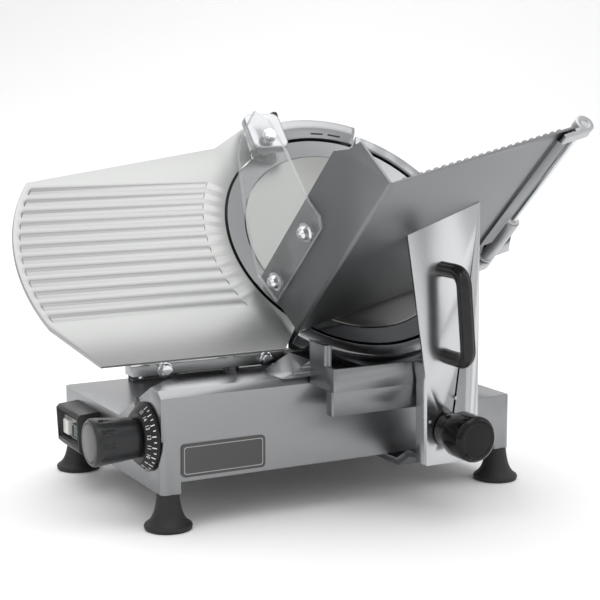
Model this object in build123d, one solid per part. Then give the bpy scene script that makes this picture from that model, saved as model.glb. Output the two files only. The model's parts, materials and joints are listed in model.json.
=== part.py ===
from build123d import *
import math
import os

# Deli meat slicer: a gravity-feed slicer with a 300 mm blade that leans back.
# Sizes are in millimetres. While it is modelled, X runs along the front from the
# base's left face, Y goes back from its front face, and Z is up from the floor.
# The blade frame has its origin at the blade's centre: x as above, u up in the
# blade's plane, w out of the plane towards the food. export() moves everything so
# that the origin is the centre of the bottom of the whole object's box.

# Base
BASE_LENGTH = 460.0
BASE_DEPTH = 310.0
FOOT_HEIGHT = 40.0
DECK_TOP = 105.3
BOX_TOP = 155.5
BOX_LENGTH = 395.0
BOX_TOP_DEPTH = 112.0
BOX_BACK_DEPTH = 150.0
BOX_CORNER_SHORT = 28.0
BOX_CORNER_LENGTH = 70.0
BOX_CORNER_BACK = 124.0
EDGE_BEVEL = 8.0
WALL = 4.0
LEG_WIDTH = 22.5
PANEL_BOTTOM = 53.3
FOOT_INSET = 12.0
FOOT_TOP_R = 12.5
FOOT_BOTTOM_R = 27.0
FOOT_HOLE_R = 4.0
SWITCH_FRONT = 188.0
SWITCH_REAR = 262.0
BUTTON_Y = (210.0, 240.0)
BUTTON_SIDE = 18.0
BUTTON_Z = 69.5
CORD_X = 400.0
CORD_Z = 72.0
CORD_R = 4.0

# Blade and head
BLADE_R = 150.0
BLADE_LEAN = 42.1
BLADE_X = 288.1
BLADE_Y = 104.5
BLADE_Z = 296.0
RIM_WIDTH = 22.0
DISH_DEPTH = 12.0
BLADE_SHEET = 3.0
COVER_GAP = 1.0
COVER_SHEET = 3.0
RING_GAP = 4.0
RING_WIDTH = 17.0
RING_FRONT = 3.0
SKIRT_LEFT = 182.0
SKIRT_RIGHT = 365.0
SKIRT_FRONT = -56.5
SKIRT_BACK = 62.0
SKIRT_TOP = 173.0
SKIRT_LEDGE = 147.0
SKIRT_BOTTOM = 120.0
PAN_R = 108.0
PAN_FRONT = -24.0
PAN_BACK = -70.0
PAN_WALL = 6.0
SPINDLE_R = 10.0
BEARING_R = 19.0
PULLEY_R = 42.0
MOTOR_PULLEY_R = 16.0
MOTOR_X = 70.0
MOTOR_U = 10.0
MOTOR_R = 46.0
MOTOR_LENGTH = 92.0
BELT_SHEET = 3.0
TIE_ROD_R = 4.0
MOTOR_BOX_LEFT = 306.0
MOTOR_BOX_RIGHT = 440.0
STONE_X = -68.0
STONE_OVER = 2.0
STONE_R = 10.0
STEM_R = 3.0
HOOD_START = 66.5
HOOD_ARC = 35.5
HOOD_GAP = 3.5
HOOD_REACH = 29.0
HOOD_SLOPE = 11.0
HOOD_KNOB_X = -33.0
HOOD_KNOB_W = 2.0

# Gauge plate and its drive
GAUGE_SHEET = 5.0
GAUGE_FRONT = -1.0
GAUGE_ARC_GAP = 3.0
FLUTE_PITCH = 15.4
FLUTE_COUNT = 12
FLUTE_WIDTH = 11.0
FLUTE_DEPTH = 1.2
FLUTE_MARGIN = 30.0
GAUGE_TRAVEL = 20.0
POST_R = 8.0
POST_X = 122.0
POST_Y = 78.0
BAR_TOP = 172.0
BAR_LEFT = -5.0
BAR_RIGHT = 200.0
GAUGE_ROD_R = 6.0
GAUGE_ROD_Z = 130.0
DIAL_Y = 38.5
DIAL_Z = 99.0
DIAL_R = 38.5
DIAL_DEPTH = 14.0
KNOB_LENGTH = 54.0
KNOB_R = 26.5
CAM_R0 = 12.0
CAM_ANGLE = 300.0
CAM_LEAD = 25.0
CAM_X = 8.0
CAM_SHEET = 8.0
SHAFT_R = 6.0
PIN_R = 3.5
PIN_GAP = 0.6

# Carriage
TRAY_X = -112.0
TRAY_U = -125.0
TRAY_TILT = 14.2
TRAY_WIDTH = 268.0
TRAY_START = 6.0
TRAY_LENGTH = 275.0
TRAY_SHEET = 3.0
TRAY_BEND = 4.5
SIDE_HEIGHT = 78.0
RIB_PITCH = 10.8
RIB_HEIGHT = 1.6
ARM_FRONT = -82.0
ARM_LEFT = 287.0
ARM_RIGHT = 354.5
ARM_BOTTOM = 57.0
ARM_TOP = 358.0
ARM_KNEE = 153.0
ARM_SHEET = 4.0
ARM_FLANGE = 23.0
ARM_FLANGE_TOP = 50.0
HANDLE_R = 8.5
HANDLE_REACH = 42.0
HANDLE_TOP = 280.0
HANDLE_BOTTOM = 180.0
CLAMP_X = 315.5
CLAMP_Z = 96.5
CLAMP_R = 26.0
CLAMP_LENGTH = 58.0
STUD_R = 5.0
SLIDE_ROD_R = 10.0
SLIDE_ROD_Y = 105.0
SLIDE_ROD_Z = 75.0
RAIL_Y = 55.0
RAIL_Z = 55.0
RAIL_SHEET = 6.0
ROD_OUT = 19.0
ROD_R = 5.0
BUSH_BOTTOM = 22.0
BUSH_TOP = 97.0
BUSH_FLANGE = 4.0
BUSH_R = 8.0
HUB_R = 10.5

# Fits
RUN_FIT = 0.05
GAP = 0.5

lean = math.radians(BLADE_LEAN)
blade_plane = Plane(
    origin=(BLADE_X, BLADE_Y, BLADE_Z),
    x_dir=(1, 0, 0),
    z_dir=(0, -math.cos(lean), math.sin(lean)),
)
parts = {}


def box(x0, x1, y0, y1, z0, z1):
    """A box between two corners."""
    return Pos((x0 + x1) / 2, (y0 + y1) / 2, (z0 + z1) / 2) * Box(x1 - x0, y1 - y0, z1 - z0)


def rod_x(x0, x1, y, z, r):
    """A cylinder along X."""
    return Pos((x0 + x1) / 2, y, z) * Rot(0, 90, 0) * Cylinder(r, x1 - x0)


def rod_y(y0, y1, x, z, r):
    """A cylinder along Y."""
    return Pos(x, (y0 + y1) / 2, z) * Rot(90, 0, 0) * Cylinder(r, y1 - y0)


def rod_z(z0, z1, x, y, r):
    """A cylinder along Z."""
    return Pos(x, y, (z0 + z1) / 2) * Cylinder(r, z1 - z0)


def prism_x(points, x0, x1):
    """A prism along X from an outline of (y, z) points."""
    outline = Plane.YZ * Polygon(*points, align=None)
    return Pos(x0, 0, 0) * extrude(outline, x1 - x0, dir=(1, 0, 0))


def prism_y(points, y0, y1):
    """A prism along Y from an outline of (x, z) points."""
    face = make_face(Polyline(*[(x, y0, z) for x, z in points], close=True))
    return extrude(face, y1 - y0, dir=(0, 1, 0))


def plate(outline, w0, w1):
    """A flat outline in the blade frame, extruded from w0 to w1."""
    return Pos(0, 0, w0) * extrude(outline, w1 - w0, dir=(0, 0, 1))


def turned(points, arc=360.0, start=0.0):
    """A solid turned about the frame's Z axis from an outline of (radius, z) points."""
    face = Plane.XZ * Polygon(*points, align=None)
    return Rot(0, 0, start) * revolve(face, axis=Axis.Z, revolution_arc=arc)


def on_blade(solid):
    """Places a solid of the blade frame in the slicer's frame."""
    return blade_plane.location * solid


def turned_along_x(points, y, z):
    """A solid turned about an axis that points to -X, from (radius, distance) points."""
    return Pos(0, y, z) * Rot(0, -90, 0) * turned(points)


def turned_along_y(points, x, z):
    """A solid turned about an axis that points to -Y, from (radius, distance) points."""
    return Pos(x, 0, z) * Rot(90, 0, 0) * turned(points)


# ---------------------------------------------------------------- base

def box_profile(inset):
    """The side outline of the tall front box, drawn in by a wall."""
    slope = (BOX_BACK_DEPTH - BOX_TOP_DEPTH) / (BOX_TOP - DECK_TOP)
    drop = inset * slope
    back = inset * math.hypot(1, slope)
    top = BOX_TOP - inset
    return [
        (inset, DECK_TOP - WALL - 1),
        (inset, top - EDGE_BEVEL),
        (inset + EDGE_BEVEL, top),
        (BOX_TOP_DEPTH + drop - back, top),
        (BOX_BACK_DEPTH - back + (WALL + 1) * slope, DECK_TOP - WALL - 1),
    ]


def corner_cutter(inset):
    """A large block above the slanted facet at the tall box's left rear corner."""
    a = Vector(0, BOX_CORNER_SHORT, BOX_TOP)
    b = Vector(BOX_CORNER_LENGTH, BOX_TOP_DEPTH - 17, BOX_TOP)
    c = Vector(0, BOX_CORNER_BACK, DECK_TOP)
    normal = (b - a).cross(c - a).normalized()
    facet = Plane(origin=a - normal * inset, x_dir=(b - a), z_dir=normal)
    return facet.location * Pos(0, 0, 200) * Box(800, 800, 400)


def base_housing():
    """The cast base: a low deck, the tall front box and four corner legs, hollow below."""
    low = box(0, BASE_LENGTH, 0, BASE_DEPTH, FOOT_HEIGHT, DECK_TOP)
    low = fillet(low.edges().filter_by(Axis.Z), EDGE_BEVEL)
    tall = prism_x(box_profile(0), 0, BOX_LENGTH) - corner_cutter(0)
    low_hollow = box(WALL, BASE_LENGTH - WALL, WALL, BASE_DEPTH - WALL, FOOT_HEIGHT - 1, DECK_TOP - WALL)
    tall_hollow = prism_x(box_profile(WALL), WALL, BOX_LENGTH - WALL) - corner_cutter(WALL)
    body = low + tall - low_hollow - tall_hollow
    body -= box(LEG_WIDTH, BASE_LENGTH - LEG_WIDTH, -1, WALL + 1, FOOT_HEIGHT - 1, PANEL_BOTTOM)
    for x in (FOOT_INSET, BASE_LENGTH - FOOT_INSET):
        for y in (FOOT_INSET, BASE_DEPTH - FOOT_INSET):
            body += rod_z(FOOT_HEIGHT, FOOT_HEIGHT + 25, x, y, FOOT_INSET - 1)
            body -= rod_z(FOOT_HEIGHT - 1, FOOT_HEIGHT + 22, x, y, FOOT_HOLE_R)
    wide = POST_R + 1
    low = BOX_TOP - 2 * WALL
    slot = box(POST_X - wide, POST_X + wide, POST_Y, POST_Y + GAUGE_TRAVEL, low, BOX_TOP + 1)
    for y in (POST_Y, POST_Y + GAUGE_TRAVEL):
        slot += rod_z(low, BOX_TOP + 1, POST_X, y, wide)
    body -= slot
    body -= rod_x(-1, WALL + 1, DIAL_Y, DIAL_Z, SHAFT_R + RUN_FIT)
    for y in (WALL + 10, BOX_TOP_DEPTH - 3):
        lug = box(POST_X - 10, POST_X + 10, y, y + 6, GAUGE_ROD_Z - 9, BOX_TOP - WALL + 1)
        body += lug - rod_y(y - 1, y + 7, POST_X, GAUGE_ROD_Z, GAUGE_ROD_R)
    return body


def feet():
    """Four bell-shaped rubber feet."""
    x_side = (FOOT_INSET, BASE_LENGTH - FOOT_INSET)
    y_side = (FOOT_INSET, BASE_DEPTH - FOOT_INSET)
    neck = FOOT_TOP_R
    lip = FOOT_BOTTOM_R
    flare = Spline((neck, FOOT_HEIGHT), (neck + 1.5, 27), (neck + 5.5, 14), (lip - 1, 5.5),
                   tangents=[(0, -1), (0.9, -0.5)])
    sole = Polyline((lip - 1, 5.5), (lip, 3.5), (lip - 1, 0), (lip - 6, 0), (lip - 7, 1.5), (0, 1.5),
                    (0, FOOT_HEIGHT), (neck, FOOT_HEIGHT))
    shape = revolve(Plane.XZ * make_face(flare + sole), axis=Axis.Z)
    shape -= rod_z(10, FOOT_HEIGHT + 1, 0, 0, FOOT_HOLE_R)
    names = (("front_left", 0, 0), ("front_right", 1, 0), ("rear_left", 0, 1), ("rear_right", 1, 1))
    for name, i, j in names:
        parts["foot_" + name] = Pos(x_side[i], y_side[j], 0) * shape


def name_plate():
    """A blank plate on the front panel."""
    blank = box(23, 125, -1.5, 0, 58, 95)
    return fillet(blank.edges().filter_by(Axis.Y), 5)


def rear_wall():
    """The sheet that stands along the rear edge of the deck and stops the slices."""
    sheet = box(82, MOTOR_BOX_LEFT, BASE_DEPTH - 12, BASE_DEPTH - 9, DECK_TOP, 236)
    foot = box(82, MOTOR_BOX_LEFT, BASE_DEPTH - 26, BASE_DEPTH - 12, DECK_TOP, DECK_TOP + 3)
    return sheet + foot


# ---------------------------------------------------------------- blade head

def blade():
    """The dished round blade, with its cutting edge at w = 0."""
    rim = BLADE_R - RIM_WIDTH
    points = [
        (BLADE_R, 0),
        (rim, -3),
        (rim, -DISH_DEPTH),
        (SPINDLE_R + 12, -DISH_DEPTH),
        (SPINDLE_R + 12, -DISH_DEPTH - BLADE_SHEET),
        (rim + 2, -DISH_DEPTH - BLADE_SHEET),
        (rim + 5, -7),
        (BLADE_R, -0.8),
    ]
    return on_blade(turned(points))


def blade_cover():
    """The round cover in front of the blade, with the boss that its tie rod pulls."""
    r = BLADE_R - RIM_WIDTH - COVER_GAP
    front = -1.5
    back = front - COVER_SHEET
    bore = TIE_ROD_R + RUN_FIT
    disc = turned([(0, front), (r - 1, front), (r, front - 0.7), (r, back), (0, back)])
    boss = turned([(bore, back), (9, back), (9, -13), (bore, -13)])
    return on_blade(disc + boss)


def blade_pulley():
    """The hub that carries the blade on its bearings, with the belt's pulley behind."""
    points = [
        (BEARING_R + RUN_FIT, -DISH_DEPTH - BLADE_SHEET),
        (46, -DISH_DEPTH - BLADE_SHEET),
        (46, -20),
        (27, -20),
        (27, -34),
        (PULLEY_R, -34),
        (PULLEY_R, -50),
        (27, -50),
        (27, -62),
        (BEARING_R + RUN_FIT, -62),
    ]
    return on_blade(turned(points))


def blade_screws():
    """Four countersunk screws that hold the blade to its hub."""
    screw = turned([(0, -DISH_DEPTH), (4.5, -DISH_DEPTH), (4.5, -DISH_DEPTH + 1.2), (0, -DISH_DEPTH + 1.6)])
    group = None
    for i in range(4):
        piece = Rot(0, 0, 45 + 90 * i) * Pos(36, 0, 0) * screw
        group = piece if group is None else group + piece
    return on_blade(group)


def blade_head():
    """The round pan behind the blade that holds the drive, on its pedestal."""
    shell = turned([(0, PAN_FRONT), (PAN_R, PAN_FRONT), (PAN_R, PAN_BACK), (0, PAN_BACK)])
    pocket = turned([(0, PAN_FRONT - PAN_WALL), (PAN_R - PAN_WALL, PAN_FRONT - PAN_WALL),
                     (PAN_R - PAN_WALL, PAN_BACK - 1), (0, PAN_BACK - 1)])
    floor = PAN_FRONT - PAN_WALL - 1
    hole = turned([(0, PAN_FRONT + 1), (30, PAN_FRONT + 1), (30, floor), (0, floor)])
    pan = on_blade(shell)
    pedestal = box(BLADE_X - 42, BLADE_X + 42, SKIRT_BACK, SKIRT_BACK + 28, BOX_TOP, 215)
    pedestal -= on_blade(turned([(0, 40), (PAN_R - PAN_WALL, 40), (PAN_R - PAN_WALL, -120), (0, -120)]))
    pedestal -= on_blade(box(-200, 200, -300, 100, -200, PAN_BACK))
    return pan + pedestal - on_blade(pocket) - on_blade(hole)


def pulley_cover():
    """The back plate of the pan, with the bosses of the spindle and the motor."""
    back = PAN_BACK - 3
    disc = turned([(SPINDLE_R, PAN_BACK), (PAN_R, PAN_BACK), (PAN_R, back), (SPINDLE_R, back)])
    return on_blade(disc - Pos(MOTOR_X, MOTOR_U, PAN_BACK) * Cylinder(9, 10))


def blade_spindle():
    """The fixed hollow spindle that the blade turns on."""
    tube = turned([(TIE_ROD_R + RUN_FIT, -14), (SPINDLE_R, -14), (SPINDLE_R, PAN_BACK - 3),
                   (TIE_ROD_R + RUN_FIT, PAN_BACK - 3)])
    return on_blade(tube)


def spindle_bearings():
    """Two ball bearings on the spindle, drawn as plain rings."""
    group = None
    for w in (-18, -52):
        ring = turned([(SPINDLE_R, w), (BEARING_R, w), (BEARING_R, w - 9), (SPINDLE_R, w - 9)])
        group = ring if group is None else group + ring
    return on_blade(group)


def cover_tie_rod():
    """The long screw through the spindle that holds the blade cover, with its knob."""
    points = [(0, -6), (TIE_ROD_R, -6), (TIE_ROD_R, PAN_BACK - 6), (13, PAN_BACK - 6), (15, PAN_BACK - 9),
              (15, PAN_BACK - 24), (12, PAN_BACK - 28), (0, PAN_BACK - 28)]
    return on_blade(turned(points))


def ring_profile(inner, outer, front):
    """The section of the guard that rings the blade, with the web to the pan behind."""
    return [
        (inner, front - 2), (inner + 2.5, front), (outer - 2.5, front), (outer, front - 2.5),
        (outer, -18), (PAN_R, -32), (PAN_R, -27), (inner, -14),
    ]


def ring_guard():
    """The fixed ring around the right and the bottom of the blade's edge."""
    inner = BLADE_R + RING_GAP
    section = ring_profile(inner, inner + RING_WIDTH, RING_FRONT)
    return on_blade(turned(section, arc=196, start=-131))


def hood_outer():
    """The outer radius of the sharpener hood."""
    return BLADE_R + HOOD_REACH


def hood_knob_seat():
    """The height above the blade's centre at which the hood's knob rests."""
    return math.sqrt(hood_outer() ** 2 - (HOOD_KNOB_X + 5) ** 2) + GAP


def sharpener_hood():
    """The curved cover over the top of the blade, beside the sharpener."""
    inner = BLADE_R + HOOD_GAP
    outer = hood_outer()
    section = [(inner, 2), (inner + HOOD_SLOPE, 9), (outer - 2.5, 9), (outer, 6.5)]
    section += [(outer, -18), (PAN_R, -32), (PAN_R, -27), (inner, -14)]
    hood = turned(section, arc=HOOD_ARC, start=HOOD_START)
    seat = hood_knob_seat()
    hole = Pos(HOOD_KNOB_X, seat - 8, HOOD_KNOB_W) * Rot(90, 0, 0) * Cylinder(2 + RUN_FIT, 16)
    return on_blade(hood - hole)


def stone_at():
    """The place of the sharpening stones in the blade frame, just outside the blade's edge."""
    return (STONE_X, math.sqrt((BLADE_R + STONE_OVER) ** 2 - STONE_X ** 2))


def sharpener_body():
    """The cast block that straddles the blade's edge and carries the two stones."""
    x, u = stone_at()
    top = u + 42
    rear = box(x - 8, x + 28, u - 8, top, -26, 12)
    front = box(x - 20, x + 28, u - 12, top, 12, 23)
    rear = fillet(rear.edges().filter_by(Axis.Z).group_by(Axis.X)[0].sort_by(Axis.Y)[-1], 14)
    front = fillet(front.edges().filter_by(Axis.Z), 10)
    front = fillet(front.faces().sort_by(Axis.Z)[-1].edges(), 2.5)
    slot = Pos(0, 0, -2) * Cylinder(BLADE_R + 2.5, 27.9)
    reach = BLADE_R + 8
    begin = HOOD_START + HOOD_ARC + 0.5
    hub = turned([(PAN_R, -32), (PAN_R, -27), (reach, -20), (reach, -26)], arc=12, start=begin)
    block = rear + front - slot + hub
    block -= Pos(x, u, -2) * Cylinder(STONE_R + 1.5, 27.9)
    block -= Pos(x, u, 0) * Cylinder(STEM_R + RUN_FIT, 80)
    block -= Pos(x, u, -36) * Cylinder(STONE_R, 20)
    return on_blade(block)


def stone(side):
    """A sharpening stone on its stem, with the button that presses it to the blade."""
    reach = [(0, 5), (STONE_R, 5), (STONE_R, 8.5), (STEM_R, 8.5), (STEM_R, 28), (7.5, 28), (8.5, 29.5),
             (8.5, 34), (7, 36), (0, 36)]
    back = 2 if side < 0 else 0
    x, u = stone_at()
    return on_blade(Pos(x, u, 0) * turned([(r, side * w - back) for r, w in reach]))


def hood_knob():
    """The small knob that clamps the sharpener hood, with its stud."""
    outline = [(0, -14), (2, -14), (2, 0), (3.4, 0), (3.4, 3), (5.3, 12), (5.3, 15), (4.6, 16), (0, 16)]
    return on_blade(Pos(HOOD_KNOB_X, hood_knob_seat(), HOOD_KNOB_W) * Rot(-90, 0, 0) * turned(outline))


def head_skirt():
    """The stepped casting under the ring, which overhangs the front panel."""
    left, right, front, back = SKIRT_LEFT, SKIRT_RIGHT, SKIRT_FRONT, SKIRT_BACK
    ledge, top = SKIRT_LEDGE, SKIRT_TOP
    upper = box(left, right, front, back, ledge, top)
    upper = fillet(upper.edges().filter_by(Axis.Z).group_by(Axis.X)[0].sort_by(Axis.Y)[0], 3)
    upper -= box(left + WALL, right - WALL, front + WALL, back - WALL, ledge + WALL, top + 1)
    upper -= box(left - 1, right + 1, -0.5, back + 1, ledge - 1, BOX_TOP)
    upper -= box(left + WALL, right - WALL, -0.5, back - WALL, ledge - 1, top + 1)
    upper -= box(right - WALL - 1, right + 1, -20, back + 1, 165, top + 1)
    corner = (left - 2, front + 1)
    tier = Polygon(corner, (right, front + 1), (right, 0), (left + 44, 0), (left - 2, front + 14), align=None)
    lower = Pos(0, 0, SKIRT_BOTTOM) * extrude(tier, ledge - SKIRT_BOTTOM, dir=(0, 0, 1))
    lower = fillet(lower.edges().filter_by(Axis.Z).group_by(Axis.X)[0], 2.5)
    inside = (left + 8, front + 5)
    hollow = Polygon(inside, (right - WALL, front + 5), (right - WALL, -WALL), (left + 50, -WALL), align=None)
    lower -= Pos(0, 0, SKIRT_BOTTOM - 1) * extrude(hollow, ledge - SKIRT_BOTTOM - WALL + 1, dir=(0, 0, 1))
    shoulder = box(left, left + 10, -36, 0, ledge + WALL, 196)
    shoulder = fillet(shoulder.edges().filter_by(Axis.Z).group_by(Axis.Y)[0], 4.5)
    side = prism_y([(left, top), (left - 34, BOX_TOP), (left, BOX_TOP)], 0, 52)
    for i in range(2):
        z = 160 + 6 * i
        side += box(left - 22 + 10 * i, left, -2.5, 0, z, z + 2)
    return upper + lower + shoulder + side


def motor_outline(inset):
    """The side outline of the motor housing."""
    face = PAN_BACK - 4 - inset
    low = blade_plane.location * Pos(0, -53, face)
    high = blade_plane.location * Pos(0, 64, face)
    floor = DECK_TOP if inset == 0 else DECK_TOP - 1
    front = BOX_BACK_DEPTH + 3 + inset
    rear = BASE_DEPTH - 20 - inset
    return [
        (front, floor),
        (front, 186),
        (low.position.Y + inset * 0.4, low.position.Z),
        (high.position.Y, high.position.Z - inset),
        (rear - 22, 262 - inset),
        (rear, 196),
        (rear, floor),
    ]


def motor_housing():
    """The cast shell over the motor, on the rear of the deck."""
    shell = prism_x(motor_outline(0), MOTOR_BOX_LEFT, MOTOR_BOX_RIGHT)
    shell -= prism_x(motor_outline(3.5), MOTOR_BOX_LEFT + 3.5, MOTOR_BOX_RIGHT - 3.5)
    shell -= on_blade(Pos(MOTOR_X, MOTOR_U, PAN_BACK - 10) * Cylinder(MOTOR_R + 1, 28))
    return shell


def motor():
    """The motor, behind the pan and parallel to the blade's axis."""
    back = PAN_BACK - 3
    bore = SHAFT_R + 1
    end = back - MOTOR_LENGTH
    body = turned([(bore, back), (MOTOR_R, back), (MOTOR_R, end), (bore, end)])
    return on_blade(Pos(MOTOR_X, MOTOR_U, 0) * body)


def motor_pulley():
    """The motor's shaft and its small pulley."""
    back = PAN_BACK - 3 - MOTOR_LENGTH + 4
    r = MOTOR_PULLEY_R
    points = [(0, -33), (r, -33), (r, -51), (SHAFT_R, -51), (SHAFT_R, back), (0, back)]
    return on_blade(Pos(MOTOR_X, MOTOR_U, 0) * turned(points))


def belt_outline(gap):
    """The outline around both pulleys at a gap from them."""
    small = Pos(MOTOR_X, MOTOR_U) * Circle(MOTOR_PULLEY_R + gap)
    return make_hull(Circle(PULLEY_R + gap).edges() + small.edges())


def drive_belt():
    """The flat belt around the two pulleys."""
    return on_blade(plate(belt_outline(GAP + BELT_SHEET) - belt_outline(GAP), -49, -35))


# ---------------------------------------------------------------- gauge plate and dial

def gauge_outline():
    """The outline of the gauge plate in the blade frame."""
    top_left = (-374, 103)
    bulge = (-411, 5)
    low_left = (-395, -92)
    bottom_left = (-351, -144)
    right = -132
    top_right = (-80, 174)
    edges = [
        ThreePointArc(top_left, bulge, low_left),
        Line(low_left, bottom_left),
        Line(bottom_left, (right, -144)),
        Line((right, -144), (right + 28, -110)),
        Line((right + 28, -110), top_right),
        Line(top_right, (-128, 144)),
        Line((-128, 144), top_left),
    ]
    return make_face(edges)


def gauge_plate():
    """The fluted plate beside the blade that sets the slice."""
    arc = BLADE_R + GAUGE_ARC_GAP
    outline = gauge_outline() - Circle(arc)
    sheet = plate(outline, GAUGE_FRONT - GAUGE_SHEET, GAUGE_FRONT)
    radius = FLUTE_WIDTH ** 2 / (8 * FLUTE_DEPTH) + FLUTE_DEPTH / 2
    flutes = None
    for i in range(FLUTE_COUNT):
        u = -80 + i * FLUTE_PITCH
        hollow = Pos(-240, u, GAUGE_FRONT - FLUTE_DEPTH + radius) * Rot(0, 90, 0) * Cylinder(radius, 360)
        groove = hollow & box(-420, -60, u - 8, u + 8, GAUGE_FRONT - 3, GAUGE_FRONT + 0.5)
        flutes = groove if flutes is None else flutes + groove
    flutes -= Cylinder(arc + FLUTE_MARGIN - 3, 20)
    flutes &= plate(offset(gauge_outline(), -8), -20, 20)
    return on_blade(sheet - flutes)


def gauge_bracket():
    """The bar under the gauge plate and the two webs up to the plate's back."""
    bar = box(BAR_LEFT, BAR_RIGHT, POST_Y - 12, POST_Y + 12, 160, BAR_TOP)
    back = GAUGE_FRONT - GAUGE_SHEET
    cut = on_blade(box(-600, 600, -500, 500, back, 300))
    front, rear = POST_Y - 12, POST_Y + 12
    for x in (15, 112):
        bar += prism_x([(front, 165), (rear, 165), (rear, 320), (front, 320)], x, x + 8) - cut
        bar += prism_x([(front, 165), (POST_Y + 40, 300), (rear, 300)], x, x + 8) - cut
    return bar


def gauge_bolts():
    """Two hexagon bolts in the front of the bar."""
    group = None
    for x in (33, 160):
        head = Pos(x, POST_Y - 12 - 2.5, 166) * Rot(90, 0, 0) * extrude(RegularPolygon(7, 6), 5, both=False)
        washer = rod_y(POST_Y - 14.5, POST_Y - 12, x, 166, 9)
        piece = head + washer
        group = piece if group is None else group + piece
    return group


def gauge_post():
    """The post from the bar down through the slot into the base."""
    return rod_z(GAUGE_ROD_Z + 13, 160, POST_X, POST_Y, POST_R)


def gauge_slider():
    """The block on the guide rod, with the follower that rides on the scroll cam."""
    front, rear = POST_Y - 12, BOX_TOP_DEPTH - 4 - GAUGE_TRAVEL
    low = GAUGE_ROD_Z - 20
    block = box(POST_X - 14, POST_X + 14, front, rear, low, GAUGE_ROD_Z + 13)
    block -= rod_y(front - 1, rear + 1, POST_X, GAUGE_ROD_Z, GAUGE_ROD_R + RUN_FIT)
    pin_y = DIAL_Y + CAM_R0 + PIN_R + PIN_GAP
    tab_x = CAM_X + CAM_SHEET + 4
    bar = box(tab_x, POST_X - 14, front, front + 10, low, low + 8)
    tab = prism_x([(pin_y - 6, DIAL_Z - 6), (pin_y + 6, DIAL_Z - 6), (front + 10, low),
                   (front + 10, low + 8), (front, low + 8)], tab_x, tab_x + 6)
    pin = rod_x(CAM_X, tab_x, pin_y, DIAL_Z, PIN_R)
    return block + bar + tab + pin


def gauge_rod():
    """The guide rod of the gauge slider, along Y."""
    return rod_y(WALL, BOX_TOP_DEPTH + 3, POST_X, GAUGE_ROD_Z, GAUGE_ROD_R)


def scroll_cam():
    """The snail-shaped cam on the dial's shaft that pushes the gauge slider."""
    steps = 22
    first = -CAM_LEAD
    last = CAM_ANGLE + 5
    points = []
    for i in range(steps + 1):
        turn = first + (last - first) * i / steps
        r = CAM_R0 + GAUGE_TRAVEL * turn / CAM_ANGLE
        points.append((r * math.cos(math.radians(turn)), r * math.sin(math.radians(turn))))
    edge = Spline(*points)
    face = make_face([edge, Line(points[-1], points[0])])
    face -= Circle(SHAFT_R)
    snail = extrude(face, CAM_SHEET, dir=(0, 0, 1))
    return Pos(CAM_X, DIAL_Y, DIAL_Z) * Rot(0, 90, 0) * Rot(0, 0, 90) * snail


def dial_ring():
    """The conical scale ring on the left wall."""
    points = [(SHAFT_R, 1), (DIAL_R, 1), (DIAL_R, 4), (DIAL_R - 10, DIAL_DEPTH), (SHAFT_R, DIAL_DEPTH)]
    return turned_along_x(points, DIAL_Y, DIAL_Z)


def dial_knob():
    """The tapered knob in front of the scale ring."""
    end = DIAL_DEPTH + KNOB_LENGTH
    r = KNOB_R
    points = [(SHAFT_R, DIAL_DEPTH), (r - 5, DIAL_DEPTH), (r - 3.5, DIAL_DEPTH + 6), (r, end - 8)]
    points += [(r, end - 3), (r - 2.5, end), (0, end), (0, end - 8), (SHAFT_R, end - 8)]
    knob = turned_along_x(points, DIAL_Y, DIAL_Z)
    for i in range(10):
        angle = math.radians(36 * i)
        y = DIAL_Y + (r + 1) * math.cos(angle)
        z = DIAL_Z + (r + 1) * math.sin(angle)
        knob -= rod_x(-end + 8, -DIAL_DEPTH - 6, y, z, 2.6)
    return knob


def dial_shaft():
    """The shaft that joins the knob, the scale ring and the cam."""
    return rod_x(-DIAL_DEPTH - KNOB_LENGTH + 8, CAM_X + CAM_SHEET, DIAL_Y, DIAL_Z, SHAFT_R)


# ---------------------------------------------------------------- switch

def switch_housing():
    """The hooded black switch box on the left wall."""
    outline = [(0, 44), (-20, 44), (-26, 50), (-26, 54), (-17, 56), (-17, 82), (-28, 90), (-24, 94), (0, 96)]
    end = [(0, 44), (-20, 44), (-26, 50), (-28, 90), (-24, 94), (0, 96)]
    shell = prism_y(outline, SWITCH_FRONT, SWITCH_REAR)
    shell += prism_y(end, SWITCH_FRONT, SWITCH_FRONT + 3)
    shell += prism_y(end, SWITCH_REAR - 3, SWITCH_REAR)
    return shell - button_holes()


def button_holes():
    """The two square holes that the push buttons slide in."""
    half = BUTTON_SIDE / 2 + GAP
    holes = [box(-20, -8, y - half, y + half, BUTTON_Z - half, BUTTON_Z + half) for y in BUTTON_Y]
    return holes[0] + holes[1]


def switch_panel():
    """The light plate around the two buttons."""
    return box(-18.5, -17, SWITCH_FRONT + 4, SWITCH_REAR - 4, 57.5, 81) - button_holes()


def push_button(y):
    """A square push button."""
    half = BUTTON_SIDE / 2
    cap = box(-23, -12, y - half, y + half, BUTTON_Z - half, BUTTON_Z + half)
    return fillet(cap.edges().filter_by(Axis.X), 2)


def cable_gland():
    """The gland of the mains cord, in the rear wall of the base."""
    place = Pos(CORD_X, BASE_DEPTH, CORD_Z) * Rot(-90, 0, 0)
    nut = place * extrude(RegularPolygon(12, 6), 7)
    cone = place * turned([(CORD_R, 7), (10, 7), (8, 18), (CORD_R, 18)])
    return (nut - rod_y(BASE_DEPTH - 1, BASE_DEPTH + 8, CORD_X, CORD_Z, CORD_R)) + cone


# ---------------------------------------------------------------- carriage

def slide_rod():
    """The polished rod that the carriage runs on."""
    return rod_x(WALL, BASE_LENGTH - WALL, SLIDE_ROD_Y, SLIDE_ROD_Z, SLIDE_ROD_R)


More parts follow.
